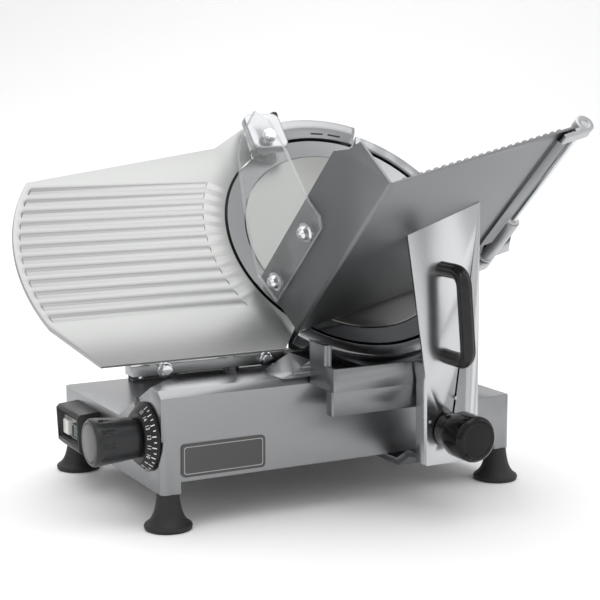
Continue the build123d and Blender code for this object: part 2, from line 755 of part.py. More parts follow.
def guide_rail():
    """The flat rail that stops the carriage from tipping."""
    return box(WALL, BASE_LENGTH - WALL, RAIL_Y - 10, RAIL_Y + 10, RAIL_Z, RAIL_Z + RAIL_SHEET)


def rod_brackets():
    """The end blocks of the slide rod and the rail."""
    group = None
    for x in (WALL, BASE_LENGTH - WALL - 12):
        block = box(x, x + 12, SLIDE_ROD_Y - 17, SLIDE_ROD_Y + 17, 52, 94)
        block += box(x, x + 12, RAIL_Y - 14, SLIDE_ROD_Y, 52, RAIL_Z + RAIL_SHEET + 3)
        block -= rod_x(x - 1, x + 13, SLIDE_ROD_Y, SLIDE_ROD_Z, SLIDE_ROD_R)
        block -= box(x - 1, x + 13, RAIL_Y - 10, RAIL_Y + 10, RAIL_Z, RAIL_Z + RAIL_SHEET)
        group = block if group is None else group + block
    return group


def arm_foot_span():
    """The left and right ends of the carriage's foot and its block."""
    return (ARM_LEFT + 5, ARM_RIGHT - 4.5)


def foot_top():
    """The height of the foot's bar where it passes under the front panel."""
    return PANEL_BOTTOM - 3.8


def slide_block():
    """The carriage block on the slide rod."""
    left, right = arm_foot_span()
    block = box(left, right, SLIDE_ROD_Y - 18, SLIDE_ROD_Y + 18, foot_top(), SLIDE_ROD_Z + 19)
    return block - rod_x(left - 1, right + 1, SLIDE_ROD_Y, SLIDE_ROD_Z, SLIDE_ROD_R + 4)


def slide_bushes():
    """The two bronze bushes of the carriage block."""
    left, right = arm_foot_span()
    group = None
    for x in (left, right - 20):
        bush = rod_x(x, x + 20, SLIDE_ROD_Y, SLIDE_ROD_Z, SLIDE_ROD_R + 4)
        bush -= rod_x(x - 1, x + 21, SLIDE_ROD_Y, SLIDE_ROD_Z, SLIDE_ROD_R + RUN_FIT)
        group = bush if group is None else group + bush
    return group


def arm_foot():
    """The cranked bracket from the arm, under the front panel, to the slide block."""
    left, right = arm_foot_span()
    top, low = foot_top(), FOOT_HEIGHT + 1.5
    rise = ARM_BOTTOM + 8
    front = ARM_FRONT + ARM_SHEET
    outline = [(SLIDE_ROD_Y + 10, low), (SLIDE_ROD_Y + 10, top), (-10, top), (-34, rise), (front + 10, rise),
               (front + 10, 126), (front, 126), (front, ARM_BOTTOM), (-38, ARM_BOTTOM), (-14, low)]
    shoe = box(left, right, RAIL_Y - 14, RAIL_Y + 14, top, RAIL_Z - GAP)
    body = prism_x(outline, left, right) + shoe
    return body - rod_y(front - 1, front + 11, CLAMP_X, CLAMP_Z, STUD_R + RUN_FIT)


def arm_outline():
    """The outline of the carriage arm's front, as (x, z) points."""
    right = ARM_RIGHT
    left = ARM_LEFT
    edge = [(left, ARM_BOTTOM), (right + 1, ARM_BOTTOM), (right - 1, ARM_TOP)]
    return edge + [(258, ARM_TOP - 33), (left - 1, ARM_KNEE)]


def carriage_arm():
    """The folded sheet arm that carries the tray: a front plate and two side flanges."""
    back = ARM_FRONT + ARM_SHEET
    wide = ARM_FRONT + ARM_FLANGE_TOP
    narrow = ARM_FRONT + ARM_FLANGE
    front = prism_y(arm_outline(), ARM_FRONT, back)
    body = prism_y(arm_outline(), ARM_FRONT, wide + 10)
    inner = prism_y([(ARM_LEFT + 3, 0), (ARM_RIGHT - 3, 0), (ARM_RIGHT - 4, 400), (ARM_LEFT - 72, 400),
                     (ARM_LEFT + 2, ARM_KNEE)], back, wide + 20)
    bend = SKIRT_TOP + 4
    bottom = [(ARM_FRONT, 0), (narrow, 0), (narrow, bend)]
    flange = prism_x(bottom + [(wide, bend + 32), (wide, 400), (ARM_FRONT, 400)], 200, 400)
    sides = (body - inner) & flange
    ceiling = tray_frame() * box(-200, 500, -TRAY_SHEET, 400, -400, 400)
    arm = front + sides - on_blade(ceiling)
    return arm - rod_y(ARM_FRONT - 1, back + 1, CLAMP_X, CLAMP_Z, STUD_R + RUN_FIT)


def tray_frame():
    """The tray's frame in the blade frame: x along its width, y up out of its top face."""
    return Location((TRAY_X, TRAY_U, 0), (0, 0, TRAY_TILT))


def tray():
    """The V-shaped food tray: a wide ribbed plate and a side plate square to it."""
    low, high = TRAY_START, TRAY_LENGTH
    floor = box(-TRAY_SHEET, TRAY_WIDTH, -TRAY_SHEET, 0, low, high)
    top = SIDE_HEIGHT
    side = prism_x([(0, low), (top, low), (top, 233), (62, 255), (55, high), (0, high)], -TRAY_SHEET, 0)
    edge_bar = box(TRAY_WIDTH - 23, TRAY_WIDTH - 1, -TRAY_SHEET - 3, -TRAY_SHEET, low + 60, high - 12)
    bent = floor + side
    bend = bent.edges().filter_by(Axis.Z).sort_by(lambda edge: edge.center().X + edge.center().Y)[0]
    body = fillet(bend, TRAY_BEND) + edge_bar
    count = int((TRAY_WIDTH - 24) / RIB_PITCH)
    for i in range(count):
        s = 16 + i * RIB_PITCH
        body += box(s, s + RIB_PITCH * 0.45, -0.5, RIB_HEIGHT, low + 2, high)
    return on_blade(tray_frame() * body)


def guard_outline():
    """The outline of the clear guard, as (height up the side plate, w) points."""
    return [
        (40, 2 + TRAY_START), (40, 148), (50, 157), (72, 157), (129, 173), (170, 179),
        (192, 168), (193, 122), (185, 99), (150, 62), (100, 20), (80, TRAY_START),
    ]


def clear_guard():
    """The clear hand guard on the outside of the side plate."""
    outer = -TRAY_SHEET
    sheet = prism_x(guard_outline(), outer - 4, outer)
    return on_blade(tray_frame() * sheet)


def guard_nuts():
    """The two domed nuts that hold the clear guard."""
    group = None
    outer = -TRAY_SHEET - 4
    for w, h in ((127, 52), (33, 53)):
        dome = turned([(0, 0), (11, 0), (11, 3), (8, 4), (7, 9), (4, 11.5), (0, 12.5)])
        piece = Pos(outer, h, w) * Rot(0, -90, 0) * dome
        group = piece if group is None else group + piece
    return on_blade(tray_frame() * group)


def carriage_handle():
    """The D-shaped handle on the arm."""
    front = ARM_FRONT
    path = FilletPolyline((304, front, HANDLE_TOP), (304, front - HANDLE_REACH, HANDLE_TOP),
                          (313, front - HANDLE_REACH, HANDLE_BOTTOM), (313, front, HANDLE_BOTTOM), radius=15)
    section = Plane(origin=(304, front, HANDLE_TOP), z_dir=(0, -1, 0)) * Circle(HANDLE_R)
    return sweep(section, path=path)


def clamp_knob():
    """The large knob that clamps the arm to its foot, with its stud."""
    start = -ARM_FRONT + GAP
    end = start + CLAMP_LENGTH
    points = [(0, start - 14), (STUD_R, start - 14), (STUD_R, start), (20, start), (21, start + 12),
              (23, start + 18), (CLAMP_R, start + 26), (CLAMP_R, end - 4), (CLAMP_R - 4, end), (0, end)]
    return turned_along_y(points, CLAMP_X, CLAMP_Z)


def rod_place(w):
    """A place on the pusher rod's axis, at a height above the blade."""
    return tray_frame() * Pos(TRAY_WIDTH + ROD_OUT, 0, w)


def pusher_rod():
    """The rod beside the tray that the food pusher slides on."""
    middle = (TRAY_START + TRAY_LENGTH) / 2
    return on_blade(rod_place(middle) * Cylinder(ROD_R, TRAY_LENGTH - TRAY_START - 4))


def pusher_rod_brackets():
    """The two end brackets of the pusher rod, on the edge of the tray."""
    group = None
    for low in (TRAY_START + 2, TRAY_LENGTH - 13):
        high = low + 12
        lug = rod_place((low + high) / 2) * Cylinder(11, high - low)
        web = tray_frame() * box(TRAY_WIDTH - 20, TRAY_WIDTH + ROD_OUT, -11, -TRAY_SHEET, low, high)
        web -= tray_frame() * box(TRAY_WIDTH - 24, TRAY_WIDTH, -TRAY_SHEET - 3, 0, low - 1, high + 1)
        lug -= tray_frame() * box(0, TRAY_WIDTH, -13, 20, low - 1, high + 1)
        piece = lug + web - rod_place((low + high) / 2) * Cylinder(ROD_R, 30)
        group = piece if group is None else group + piece
    return on_blade(group)


def pusher_bush():
    """The plastic bush that slides on the rod."""
    bore = ROD_R + RUN_FIT
    rim = BUSH_BOTTOM + BUSH_FLANGE
    points = [(bore, BUSH_BOTTOM), (HUB_R, BUSH_BOTTOM), (HUB_R, rim), (BUSH_R, rim), (BUSH_R, BUSH_TOP),
              (bore, BUSH_TOP)]
    return on_blade(rod_place(0) * turned(points))


def pusher_arm():
    """The hub on the bush, with the arm that reaches over the tray and a finger wing."""
    low = BUSH_BOTTOM + BUSH_FLANGE + GAP
    bore = BUSH_R + RUN_FIT
    axis_x = TRAY_WIDTH + ROD_OUT
    end = axis_x + 6
    hub = rod_place(0) * turned([(bore, low), (HUB_R, low), (HUB_R, BUSH_TOP - 2), (bore, BUSH_TOP - 2)])
    neck = tray_frame() * box(axis_x - 7, end, 5, 34, low + 10, low + 28)
    wing = tray_frame() * prism_y([(axis_x, low), (axis_x + 34, low), (axis_x + 28, low + 10),
                                   (axis_x + 8, low + 46), (axis_x, low + 46)], -7, 1)
    beam = tray_frame() * box(TRAY_WIDTH / 2 - 6, end, 22, 34, low + 10, low + 28)
    return on_blade(hub + neck + wing - rod_place(60) * Cylinder(bore, 160) + beam)


def pusher_plate():
    """The press plate across the tray, with rows of teeth on its blade side."""
    low = BUSH_BOTTOM + BUSH_FLANGE + GAP + 4
    right = TRAY_WIDTH - 30
    face = make_face(Polyline((36, 6), (right, 6), (right, 30), (right - 90, 92), (36, 92), close=True))
    sheet = extrude(face, 6, dir=(0, 0, 1))
    body = Pos(0, 0, low) * fillet(sheet.edges().filter_by(Axis.Z), 5)
    for i in range(6):
        for j in range(3):
            body += Pos(54 + i * 22, 18 + j * 22, low - 1.8) * Cone(0.6, 3, 3.6)
    return on_blade(tray_frame() * body)


def pusher_grip():
    """The round grip on the pusher's arm."""
    foot = BUSH_BOTTOM + BUSH_FLANGE + GAP + 28
    stem = turned([(0, 0), (6, 0), (7, 12), (15, 20), (18, 30), (14, 40), (0, 43)])
    return on_blade(tray_frame() * Pos(TRAY_WIDTH / 2 + 11, 28, foot) * stem)


def make_parts():
    """Builds every node."""
    feet()
    for maker in (
        base_housing, name_plate, rear_wall, blade, blade_cover, blade_pulley, blade_screws,
        blade_head, pulley_cover, blade_spindle, spindle_bearings, cover_tie_rod, ring_guard,
        sharpener_hood, sharpener_body, hood_knob, head_skirt, motor_housing, motor, motor_pulley,
        drive_belt, gauge_plate, gauge_bracket, gauge_bolts, gauge_post, gauge_slider, gauge_rod,
        scroll_cam, dial_ring, dial_knob, dial_shaft, switch_housing, switch_panel,
        cable_gland, slide_rod, guide_rail, rod_brackets, slide_block, slide_bushes, arm_foot,
        carriage_arm, tray, clear_guard, guard_nuts, carriage_handle, clamp_knob, pusher_rod,
        pusher_rod_brackets, pusher_bush, pusher_arm, pusher_plate, pusher_grip,
    ):
        parts[maker.__name__] = maker()
    parts["deburr_stone"] = stone(1)
    parts["grinding_stone"] = stone(-1)
    parts["start_button"] = push_button(BUTTON_Y[0])
    parts["stop_button"] = push_button(BUTTON_Y[1])


def export():
    """Moves the model to the centre of its box's bottom and writes each node."""
    boxes = [solid.bounding_box() for solid in parts.values()]
    x0 = min(b.min.X for b in boxes)
    x1 = max(b.max.X for b in boxes)
    y0 = min(b.min.Y for b in boxes)
    y1 = max(b.max.Y for b in boxes)
    z0 = min(b.min.Z for b in boxes)
    print("shift", round(-(x0 + x1) / 2, 4), round(-(y0 + y1) / 2, 4), round(-z0, 4))
    print("nodes", len(parts))
    os.makedirs("parts", exist_ok=True)
    for name, solid in parts.items():
        moved = Pos(-(x0 + x1) / 2, -(y0 + y1) / 2, -z0) * solid
        export_step(moved, "parts/" + name + ".step")


make_parts()
export()
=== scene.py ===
"""Deli meat slicer: finishes, small details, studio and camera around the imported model."""

import json
import logging
import math
from dataclasses import dataclass, field
from enum import Enum
from typing import Callable, Sequence

import bmesh
import bpy
from mathutils import Matrix, Vector

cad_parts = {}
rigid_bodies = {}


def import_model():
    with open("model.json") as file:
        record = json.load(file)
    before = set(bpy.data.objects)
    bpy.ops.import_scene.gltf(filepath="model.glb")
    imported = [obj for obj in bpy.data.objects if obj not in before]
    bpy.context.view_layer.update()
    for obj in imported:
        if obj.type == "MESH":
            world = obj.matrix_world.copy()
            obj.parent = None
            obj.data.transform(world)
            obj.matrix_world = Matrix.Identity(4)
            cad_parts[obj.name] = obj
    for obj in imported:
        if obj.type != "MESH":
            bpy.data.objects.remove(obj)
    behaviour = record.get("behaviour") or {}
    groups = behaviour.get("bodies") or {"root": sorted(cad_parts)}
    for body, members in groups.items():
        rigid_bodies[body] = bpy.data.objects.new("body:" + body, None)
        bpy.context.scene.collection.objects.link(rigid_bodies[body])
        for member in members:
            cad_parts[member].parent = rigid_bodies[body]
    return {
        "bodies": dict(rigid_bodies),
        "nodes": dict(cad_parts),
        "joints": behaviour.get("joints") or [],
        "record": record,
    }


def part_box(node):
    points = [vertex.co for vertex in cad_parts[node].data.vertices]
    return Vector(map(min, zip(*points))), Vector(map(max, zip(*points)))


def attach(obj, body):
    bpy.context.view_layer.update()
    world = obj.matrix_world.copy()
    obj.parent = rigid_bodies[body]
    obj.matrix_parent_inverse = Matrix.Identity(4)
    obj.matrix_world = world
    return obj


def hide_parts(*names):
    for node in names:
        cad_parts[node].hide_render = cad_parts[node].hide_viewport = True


LOG = logging.getLogger("slicer")
MM = 0.001
Point = tuple[float, float, float]
Colour = tuple[float, float, float, float]
Links = dict[str | int, bpy.types.NodeSocket]
Profile = Sequence[tuple[float, float]]

# Real sizes of the wide marks: stains on metal, clouds of polish, films of dust and wiping haze.
STAIN_MM = 90.0
CLOUD_MM = 60.0
DUST_MM = 35.0
HAZE_MM = 25.0
RING_DEPTH_MM = 0.01
ACRYLIC_IOR = 1.49
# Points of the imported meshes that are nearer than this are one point.
WELD_MM = 0.002


def linear(colour: str) -> Colour:
    """Turns an sRGB hex value into linear light.

    Args:
        colour: Six hex digits, such as "a0a4a8".

    Returns:
        Red, green and blue, linear, and an opacity of 1.
    """
    channels = [int(colour[i : i + 2], 16) / 255 for i in (0, 2, 4)]
    bright = [c / 12.92 if c <= 0.04045 else ((c + 0.055) / 1.055) ** 2.4 for c in channels]
    return (bright[0], bright[1], bright[2], 1.0)


def shades(colour: str, tint: float) -> tuple[Colour, Colour]:
    """Gives a darker and a lighter shade of a colour.

    Args:
        colour: Six hex digits.
        tint: How far each shade is from the colour, as a part of it.

    Returns:
        The darker and the lighter shade, linear.
    """
    base = linear(colour)[:3]
    dark = [c * (1 - tint) for c in base]
    light = [min(c * (1 + tint), 1.0) for c in base]
    return (*dark, 1.0), (*light, 1.0)


def add_node(
    tree: bpy.types.NodeTree,
    kind: str,
    settings: dict[str | int, object] | None = None,
    links: Links | None = None,
) -> bpy.types.Node:
    """Adds a shader node.

    Args:
        tree: The node tree.
        kind: The node's type name.
        settings: Attributes, or input sockets by name or index, and their values.
        links: Input sockets by name or index, and the outputs that feed them.

    Returns:
        The new node.
    """
    node = tree.nodes.new(kind)
    for key, value in (settings or {}).items():
        if isinstance(key, str) and hasattr(node, key):
            setattr(node, key, value)
        else:
            node.inputs[key].default_value = value
    for key, output in (links or {}).items():
        tree.links.new(output, node.inputs[key])
    return node


class Grain(Enum):
    """The way that a surface's fine marks run, as stretch factors along X, Y and Z."""

    NONE = (1.0, 1.0, 1.0)
    ALONG_X = (0.02, 1.0, 1.0)
    ALONG_Y = (1.0, 0.02, 1.0)
    ALONG_Z = (1.0, 1.0, 0.02)


@dataclass(frozen=True)
class Finish:
    """What every finish has."""

    name: str
    colour: str
    roughness: float

    def start(self) -> tuple[bpy.types.Material, bpy.types.NodeTree, bpy.types.Node]:
        """Makes an empty material.

        Returns:
            The material, its node tree and its principled shader.
        """
        material = bpy.data.materials.new(self.name)
        material.use_nodes = True
        tree = material.node_tree
        tree.nodes.clear()
        start = {"Base Color": linear(self.colour), "Roughness": self.roughness}
        shader = add_node(tree, "ShaderNodeBsdfPrincipled", start)
        add_node(tree, "ShaderNodeOutputMaterial", links={"Surface": shader.outputs["BSDF"]})
        material.diffuse_color = linear(self.colour)
        return material, tree, shader

    def place(self, tree: bpy.types.NodeTree, stretch: Point) -> bpy.types.Node:
        """Adds object coordinates with a stretch.

        Args:
            tree: The node tree.
            stretch: Factors along X, Y and Z.

        Returns:
            The mapping node.
        """
        where = add_node(tree, "ShaderNodeTexCoord")
        return add_node(tree, "ShaderNodeMapping", {"Scale": stretch}, {"Vector": where.outputs["Object"]})


@dataclass(frozen=True)
class Metal(Finish):
    """A metal: cast, rolled, brushed or ground, with its grain and faint stains."""

    grain: Grain = Grain.NONE
    grain_mm: float = 0.6
    depth_mm: float = 0.01
    spread: float = 0.10
    tint: float = 0.06

    def build(self) -> bpy.types.Material:
        """Makes the material.

        Returns:
            The material.
        """
        material, tree, shader = self.start()
        shader.inputs["Metallic"].default_value = 1.0
        place = self.place(tree, self.grain.value)
        fine = add_node(
            tree,
            "ShaderNodeTexNoise",
            {"Scale": 1 / (self.grain_mm * MM), "Detail": 3.0, "Roughness": 0.6},
            {"Vector": place.outputs["Vector"]},
        )
        wide = add_node(
            tree,
            "ShaderNodeTexNoise",
            {"Scale": 1 / (STAIN_MM * MM), "Detail": 4.0, "Roughness": 0.55},
            {"Vector": place.outputs["Vector"]},
        )
        dark, light = shades(self.colour, self.tint)
        shade = add_node(
            tree, "ShaderNodeMix", {"data_type": "RGBA", 6: dark, 7: light}, {0: wide.outputs["Fac"]}
        )
        tree.links.new(shade.outputs[2], shader.inputs["Base Color"])
        both = add_node(
            tree,
            "ShaderNodeMath",
            {"operation": "MULTIPLY_ADD", 1: 0.5},
            {0: fine.outputs["Fac"], 2: wide.outputs["Fac"]},
        )
        polish = add_node(
            tree,
            "ShaderNodeMapRange",
            {
                "From Min": 0.45,
                "From Max": 1.05,
                "To Min": self.roughness * (1 - self.spread),
                "To Max": self.roughness * (1 + self.spread),
            },
            {"Value": both.outputs["Value"]},
        )
        tree.links.new(polish.outputs["Result"], shader.inputs["Roughness"])
        bump = add_node(
            tree,
            "ShaderNodeBump",
            {"Strength": 0.35, "Distance": self.depth_mm * MM},
            {"Height": fine.outputs["Fac"]},
        )
        tree.links.new(bump.outputs["Normal"], shader.inputs["Normal"])
        return material


@dataclass(frozen=True)
class Spun(Finish):
    """Metal turned or spun on a lathe: fine rings round the blade's centre."""

    centre: Point = (0.0, 0.0, 0.0)
    lean: float = 0.0
    ring_mm: float = 1.5
    tint: float = 0.05

    def build(self) -> bpy.types.Material:
        """Makes the material.

        Returns:
            The material.
        """
        material, tree, shader = self.start()
        shader.inputs["Metallic"].default_value = 1.0
        where = add_node(tree, "ShaderNodeTexCoord")
        moved = add_node(
            tree,
            "ShaderNodeVectorMath",
            {"operation": "SUBTRACT", 1: self.centre},
            {0: where.outputs["Object"]},
        )
        laid = add_node(
            tree, "ShaderNodeMapping", {"Rotation": (self.lean, 0.0, 0.0)}, {"Vector": moved.outputs[0]}
        )
        split = add_node(tree, "ShaderNodeSeparateXYZ", links={"Vector": laid.outputs["Vector"]})
        across = {"X": split.outputs["X"], "Y": split.outputs["Z"]}
        flat = add_node(tree, "ShaderNodeCombineXYZ", links=across)
        reach = add_node(
            tree, "ShaderNodeVectorMath", {"operation": "LENGTH"}, {0: flat.outputs["Vector"]}
        )
        rings = add_node(
            tree,
            "ShaderNodeTexNoise",
            {"noise_dimensions": "1D", "Scale": 1 / (self.ring_mm * MM), "Detail": 3.0},
            {"W": reach.outputs["Value"]},
        )
        cloud = add_node(
            tree,
            "ShaderNodeTexNoise",
            {"Scale": 1 / (CLOUD_MM * MM), "Detail": 4.0},
            {"Vector": where.outputs["Object"]},
        )
        dark, light = shades(self.colour, self.tint)
        shade = add_node(
            tree, "ShaderNodeMix", {"data_type": "RGBA", 6: dark, 7: light}, {0: rings.outputs["Fac"]}
        )
        tree.links.new(shade.outputs[2], shader.inputs["Base Color"])
        polish = add_node(
            tree,
            "ShaderNodeMapRange",
            {"To Min": self.roughness * 0.8, "To Max": self.roughness * 1.2},
            {"Value": cloud.outputs["Fac"]},
        )
        tree.links.new(polish.outputs["Result"], shader.inputs["Roughness"])
        bump = add_node(
            tree,
            "ShaderNodeBump",
            {"Strength": 0.3, "Distance": RING_DEPTH_MM * MM},
            {"Height": rings.outputs["Fac"]},
        )
        tree.links.new(bump.outputs["Normal"], shader.inputs["Normal"])
        return material


@dataclass(frozen=True)
class Moulded(Finish):
    """A moulded plastic or rubber: a spark-eroded grain and a trace of dust."""

    grain_mm: float = 0.5
    depth_mm: float = 0.02
    dust: str = "5a5a5a"
    dust_amount: float = 0.12
    ior: float = 1.5

    def build(self) -> bpy.types.Material:
        """Makes the material.

        Returns:
            The material.
        """
        material, tree, shader = self.start()
        shader.inputs["IOR"].default_value = self.ior
        place = self.place(tree, Grain.NONE.value)
        fine = add_node(
            tree,
            "ShaderNodeTexNoise",
            {"Scale": 1 / (self.grain_mm * MM), "Detail": 2.0},
            {"Vector": place.outputs["Vector"]},
        )
        wide = add_node(
            tree,
            "ShaderNodeTexNoise",
            {"Scale": 1 / (DUST_MM * MM), "Detail": 5.0},
            {"Vector": place.outputs["Vector"]},
        )
        spots = add_node(
            tree,
            "ShaderNodeMapRange",
            {"From Min": 0.45, "From Max": 0.85, "To Min": 0.0, "To Max": self.dust_amount},
            {"Value": wide.outputs["Fac"]},
        )
        shade = add_node(
            tree,
            "ShaderNodeMix",
            {"data_type": "RGBA", 6: linear(self.colour), 7: linear(self.dust)},
            {0: spots.outputs["Result"]},
        )
        tree.links.new(shade.outputs[2], shader.inputs["Base Color"])
        polish = add_node(
            tree,
            "ShaderNodeMapRange",
            {"To Min": self.roughness * 0.88, "To Max": self.roughness * 1.12},
            {"Value": wide.outputs["Fac"]},
        )
        tree.links.new(polish.outputs["Result"], shader.inputs["Roughness"])
        bump = add_node(
            tree,
            "ShaderNodeBump",
            {"Strength": 0.4, "Distance": self.depth_mm * MM},
            {"Height": fine.outputs["Fac"]},
        )
        tree.links.new(bump.outputs["Normal"], shader.inputs["Normal"])
        return material


@dataclass(frozen=True)
class ClearSheet(Finish):
    """Clear acrylic sheet: nearly colourless, with faint wiping haze."""

    alpha: float = 0.12

    def build(self) -> bpy.types.Material:
        """Makes the material.

        Returns:
            The material.
        """
        material, tree, shader = self.start()
        shader.inputs["IOR"].default_value = ACRYLIC_IOR
        shader.inputs["Alpha"].default_value = self.alpha
        place = self.place(tree, Grain.NONE.value)
        haze = add_node(
            tree,
            "ShaderNodeTexNoise",
            {"Scale": 1 / (HAZE_MM * MM), "Detail": 5.0},
            {"Vector": place.outputs["Vector"]},
        )
        polish = add_node(
            tree,
            "ShaderNodeMapRange",
            {"To Min": self.roughness, "To Max": self.roughness * 3},
            {"Value": haze.outputs["Fac"]},
        )
        tree.links.new(polish.outputs["Result"], shader.inputs["Roughness"])
        return material


class Solid:
    """A mesh in the making: places are matrices in metres, sizes are in millimetres."""

    def __init__(self) -> None:
        """Starts an empty mesh."""
        self.mesh = bmesh.new()

    def loft(self, rings: Sequence[Sequence[Vector]], closed: bool = False) -> None:
        """Joins rings of points, in metres, with faces and closes both ends.

        Args:
            rings: Rings with the same number of points. A ring of one point is a tip.
            closed: Whether the last ring joins the first.
        """
        made = [[self.mesh.verts.new(point) for point in ring] for ring in rings]
        pairs = list(zip(made, made[1:])) + ([(made[-1], made[0])] if closed else [])
        for low, high in pairs:
            count = max(len(low), len(high))
            for i in range(count):
                j = (i + 1) % count
                if len(low) == 1:
                    self.mesh.faces.new((low[0], high[i], high[j]))
                elif len(high) == 1:
                    self.mesh.faces.new((low[i], high[0], low[j]))
                else:
                    self.mesh.faces.new((low[i], high[i], high[j], low[j]))
        if not closed:
            for ring in (made[0], made[-1]):
                if len(ring) > 2:
                    self.mesh.faces.new(ring)

    def lathe(self, place: Matrix, profile: Profile, steps: int = 28) -> None:
        """Turns a profile round the place's Z axis.

        Args:
            place: The frame that it stands in.
            profile: Radius and height of each point. A radius of 0 is a tip.
            steps: The number of sides.
        """
        rings = []
        for radius, height in profile:
            turns = 1 if radius == 0 else steps
            angles = [2 * math.pi * i / steps for i in range(turns)]
            rings.append(
                [place @ (Vector((radius * math.cos(a), radius * math.sin(a), height)) * MM) for a in angles]
            )
        self.loft(rings)

    def prism(
        self, place: Matrix, outline: Profile, bottom: float, top: float, ease: float = 0.0
    ) -> None:
        """Raises an outline along the place's Z axis, with an eased top edge.

        Args:
            place: The frame that it stands in.
            outline: The points of the outline, which is centred on the place.
            bottom: Where it starts.
            top: Where it ends.
            ease: The size of the chamfer round its top.
        """
        wide = max(max(abs(x), abs(y)) for x, y in outline)
        levels = [(1.0, bottom), (1.0, top - ease), (1.0 - 0.35 * ease / wide, top - 0.35 * ease)]
        levels.append((1.0 - ease / wide, top))
        if not ease:
            levels = levels[:2]
        self.loft([[place @ (Vector((x * k, y * k, z)) * MM) for x, y in outline] for k, z in levels])

    def border(self, place: Matrix, outline: Profile, line: float, bottom: float, top: float) -> None:
        """Raises a line that follows an outline.

        Args:
            place: The frame that it stands in.
            outline: The points of the line's outer side, which is centred on the place.
            line: The line's width.
            bottom: Where it starts.
            top: Where it ends.
        """
        wide = max(abs(x) for x, _ in outline)
        tall = max(abs(y) for _, y in outline)
        shrink = ((wide - line) / wide, (tall - line) / tall)
        inner = [(x * shrink[0], y * shrink[1]) for x, y in outline]
        levels = ((outline, bottom), (outline, top), (inner, top), (inner, bottom))
        rings = [[place @ (Vector((x, y, z)) * MM) for x, y in points] for points, z in levels]
        self.loft(rings, closed=True)

    def arc(self, place: Matrix, section: Profile, start: float, end: float, steps: int = 48) -> None:
        """Turns a closed section round the place's Z axis, through part of a circle.

        Args:
            place: The frame that it stands in.
            section: Radius and height of each point.
            start: The first angle in degrees.
            end: The last angle in degrees.
            steps: The number of steps between them.
        """
        rings = []
        for i in range(steps + 1):
            turn = math.radians(start + (end - start) * i / steps)
            across, up = math.cos(turn), math.sin(turn)
            rings.append([place @ (Vector((r * across, r * up, z)) * MM) for r, z in section])
        self.loft(rings)

    def screw(self, place: Matrix, radius: float, height: float) -> None:
        """Adds a domed screw head with a washer and a round socket.

        Args:
            place: Its seat, with Z out of the surface.
            radius: The head's radius.
            height: The head's height.
        """
        self.lathe(place, [(radius * 1.25, -0.2), (radius * 1.25, 0.5), (radius * 1.2, 0.7), (radius, 0.7)])
        dome = [(radius * math.cos(a), 0.7 + height * math.sin(a)) for a in (0.0, 0.4, 0.8, 1.1)]
        socket = [(radius * 0.42, 0.7 + height * 0.98), (radius * 0.36, height * 0.4)]
        self.lathe(place, [(radius, 0.3), *dome, *socket])


def rounded(width: float, height: float, radius: float, steps: int = 5) -> list[tuple[float, float]]:
    """Gives the outline of a rectangle with round corners.

    Args:
        width: Its width.
        height: Its height.
        radius: The corners' radius.
        steps: Points in each corner.

    Returns:
        The points, anticlockwise.
    """
    points = []
    for turn, (sx, sy) in enumerate(((1, 1), (-1, 1), (-1, -1), (1, -1))):
        for i in range(steps + 1):
            angle = math.pi / 2 * (turn + i / steps)
            points.append(
                (
                    sx * (width / 2 - radius) + radius * math.cos(angle),
                    sy * (height / 2 - radius) + radius * math.sin(angle),
                )
            )
    return points


def facing(origin: Vector, out: Vector, up: Vector = Vector((0, 0, 1))) -> Matrix:
    """Gives a frame on a surface.

    Args:
        origin: Where it is, in metres.
        out: The way out of the surface, which becomes Z.
        up: About which way is Y.

    Returns:
        The frame.
    """
    z = out.normalized()
    x = up.cross(z).normalized()
    y = z.cross(x)
    frame = Matrix((x, y, z)).transposed().to_4x4()
    frame.translation = origin
    return frame


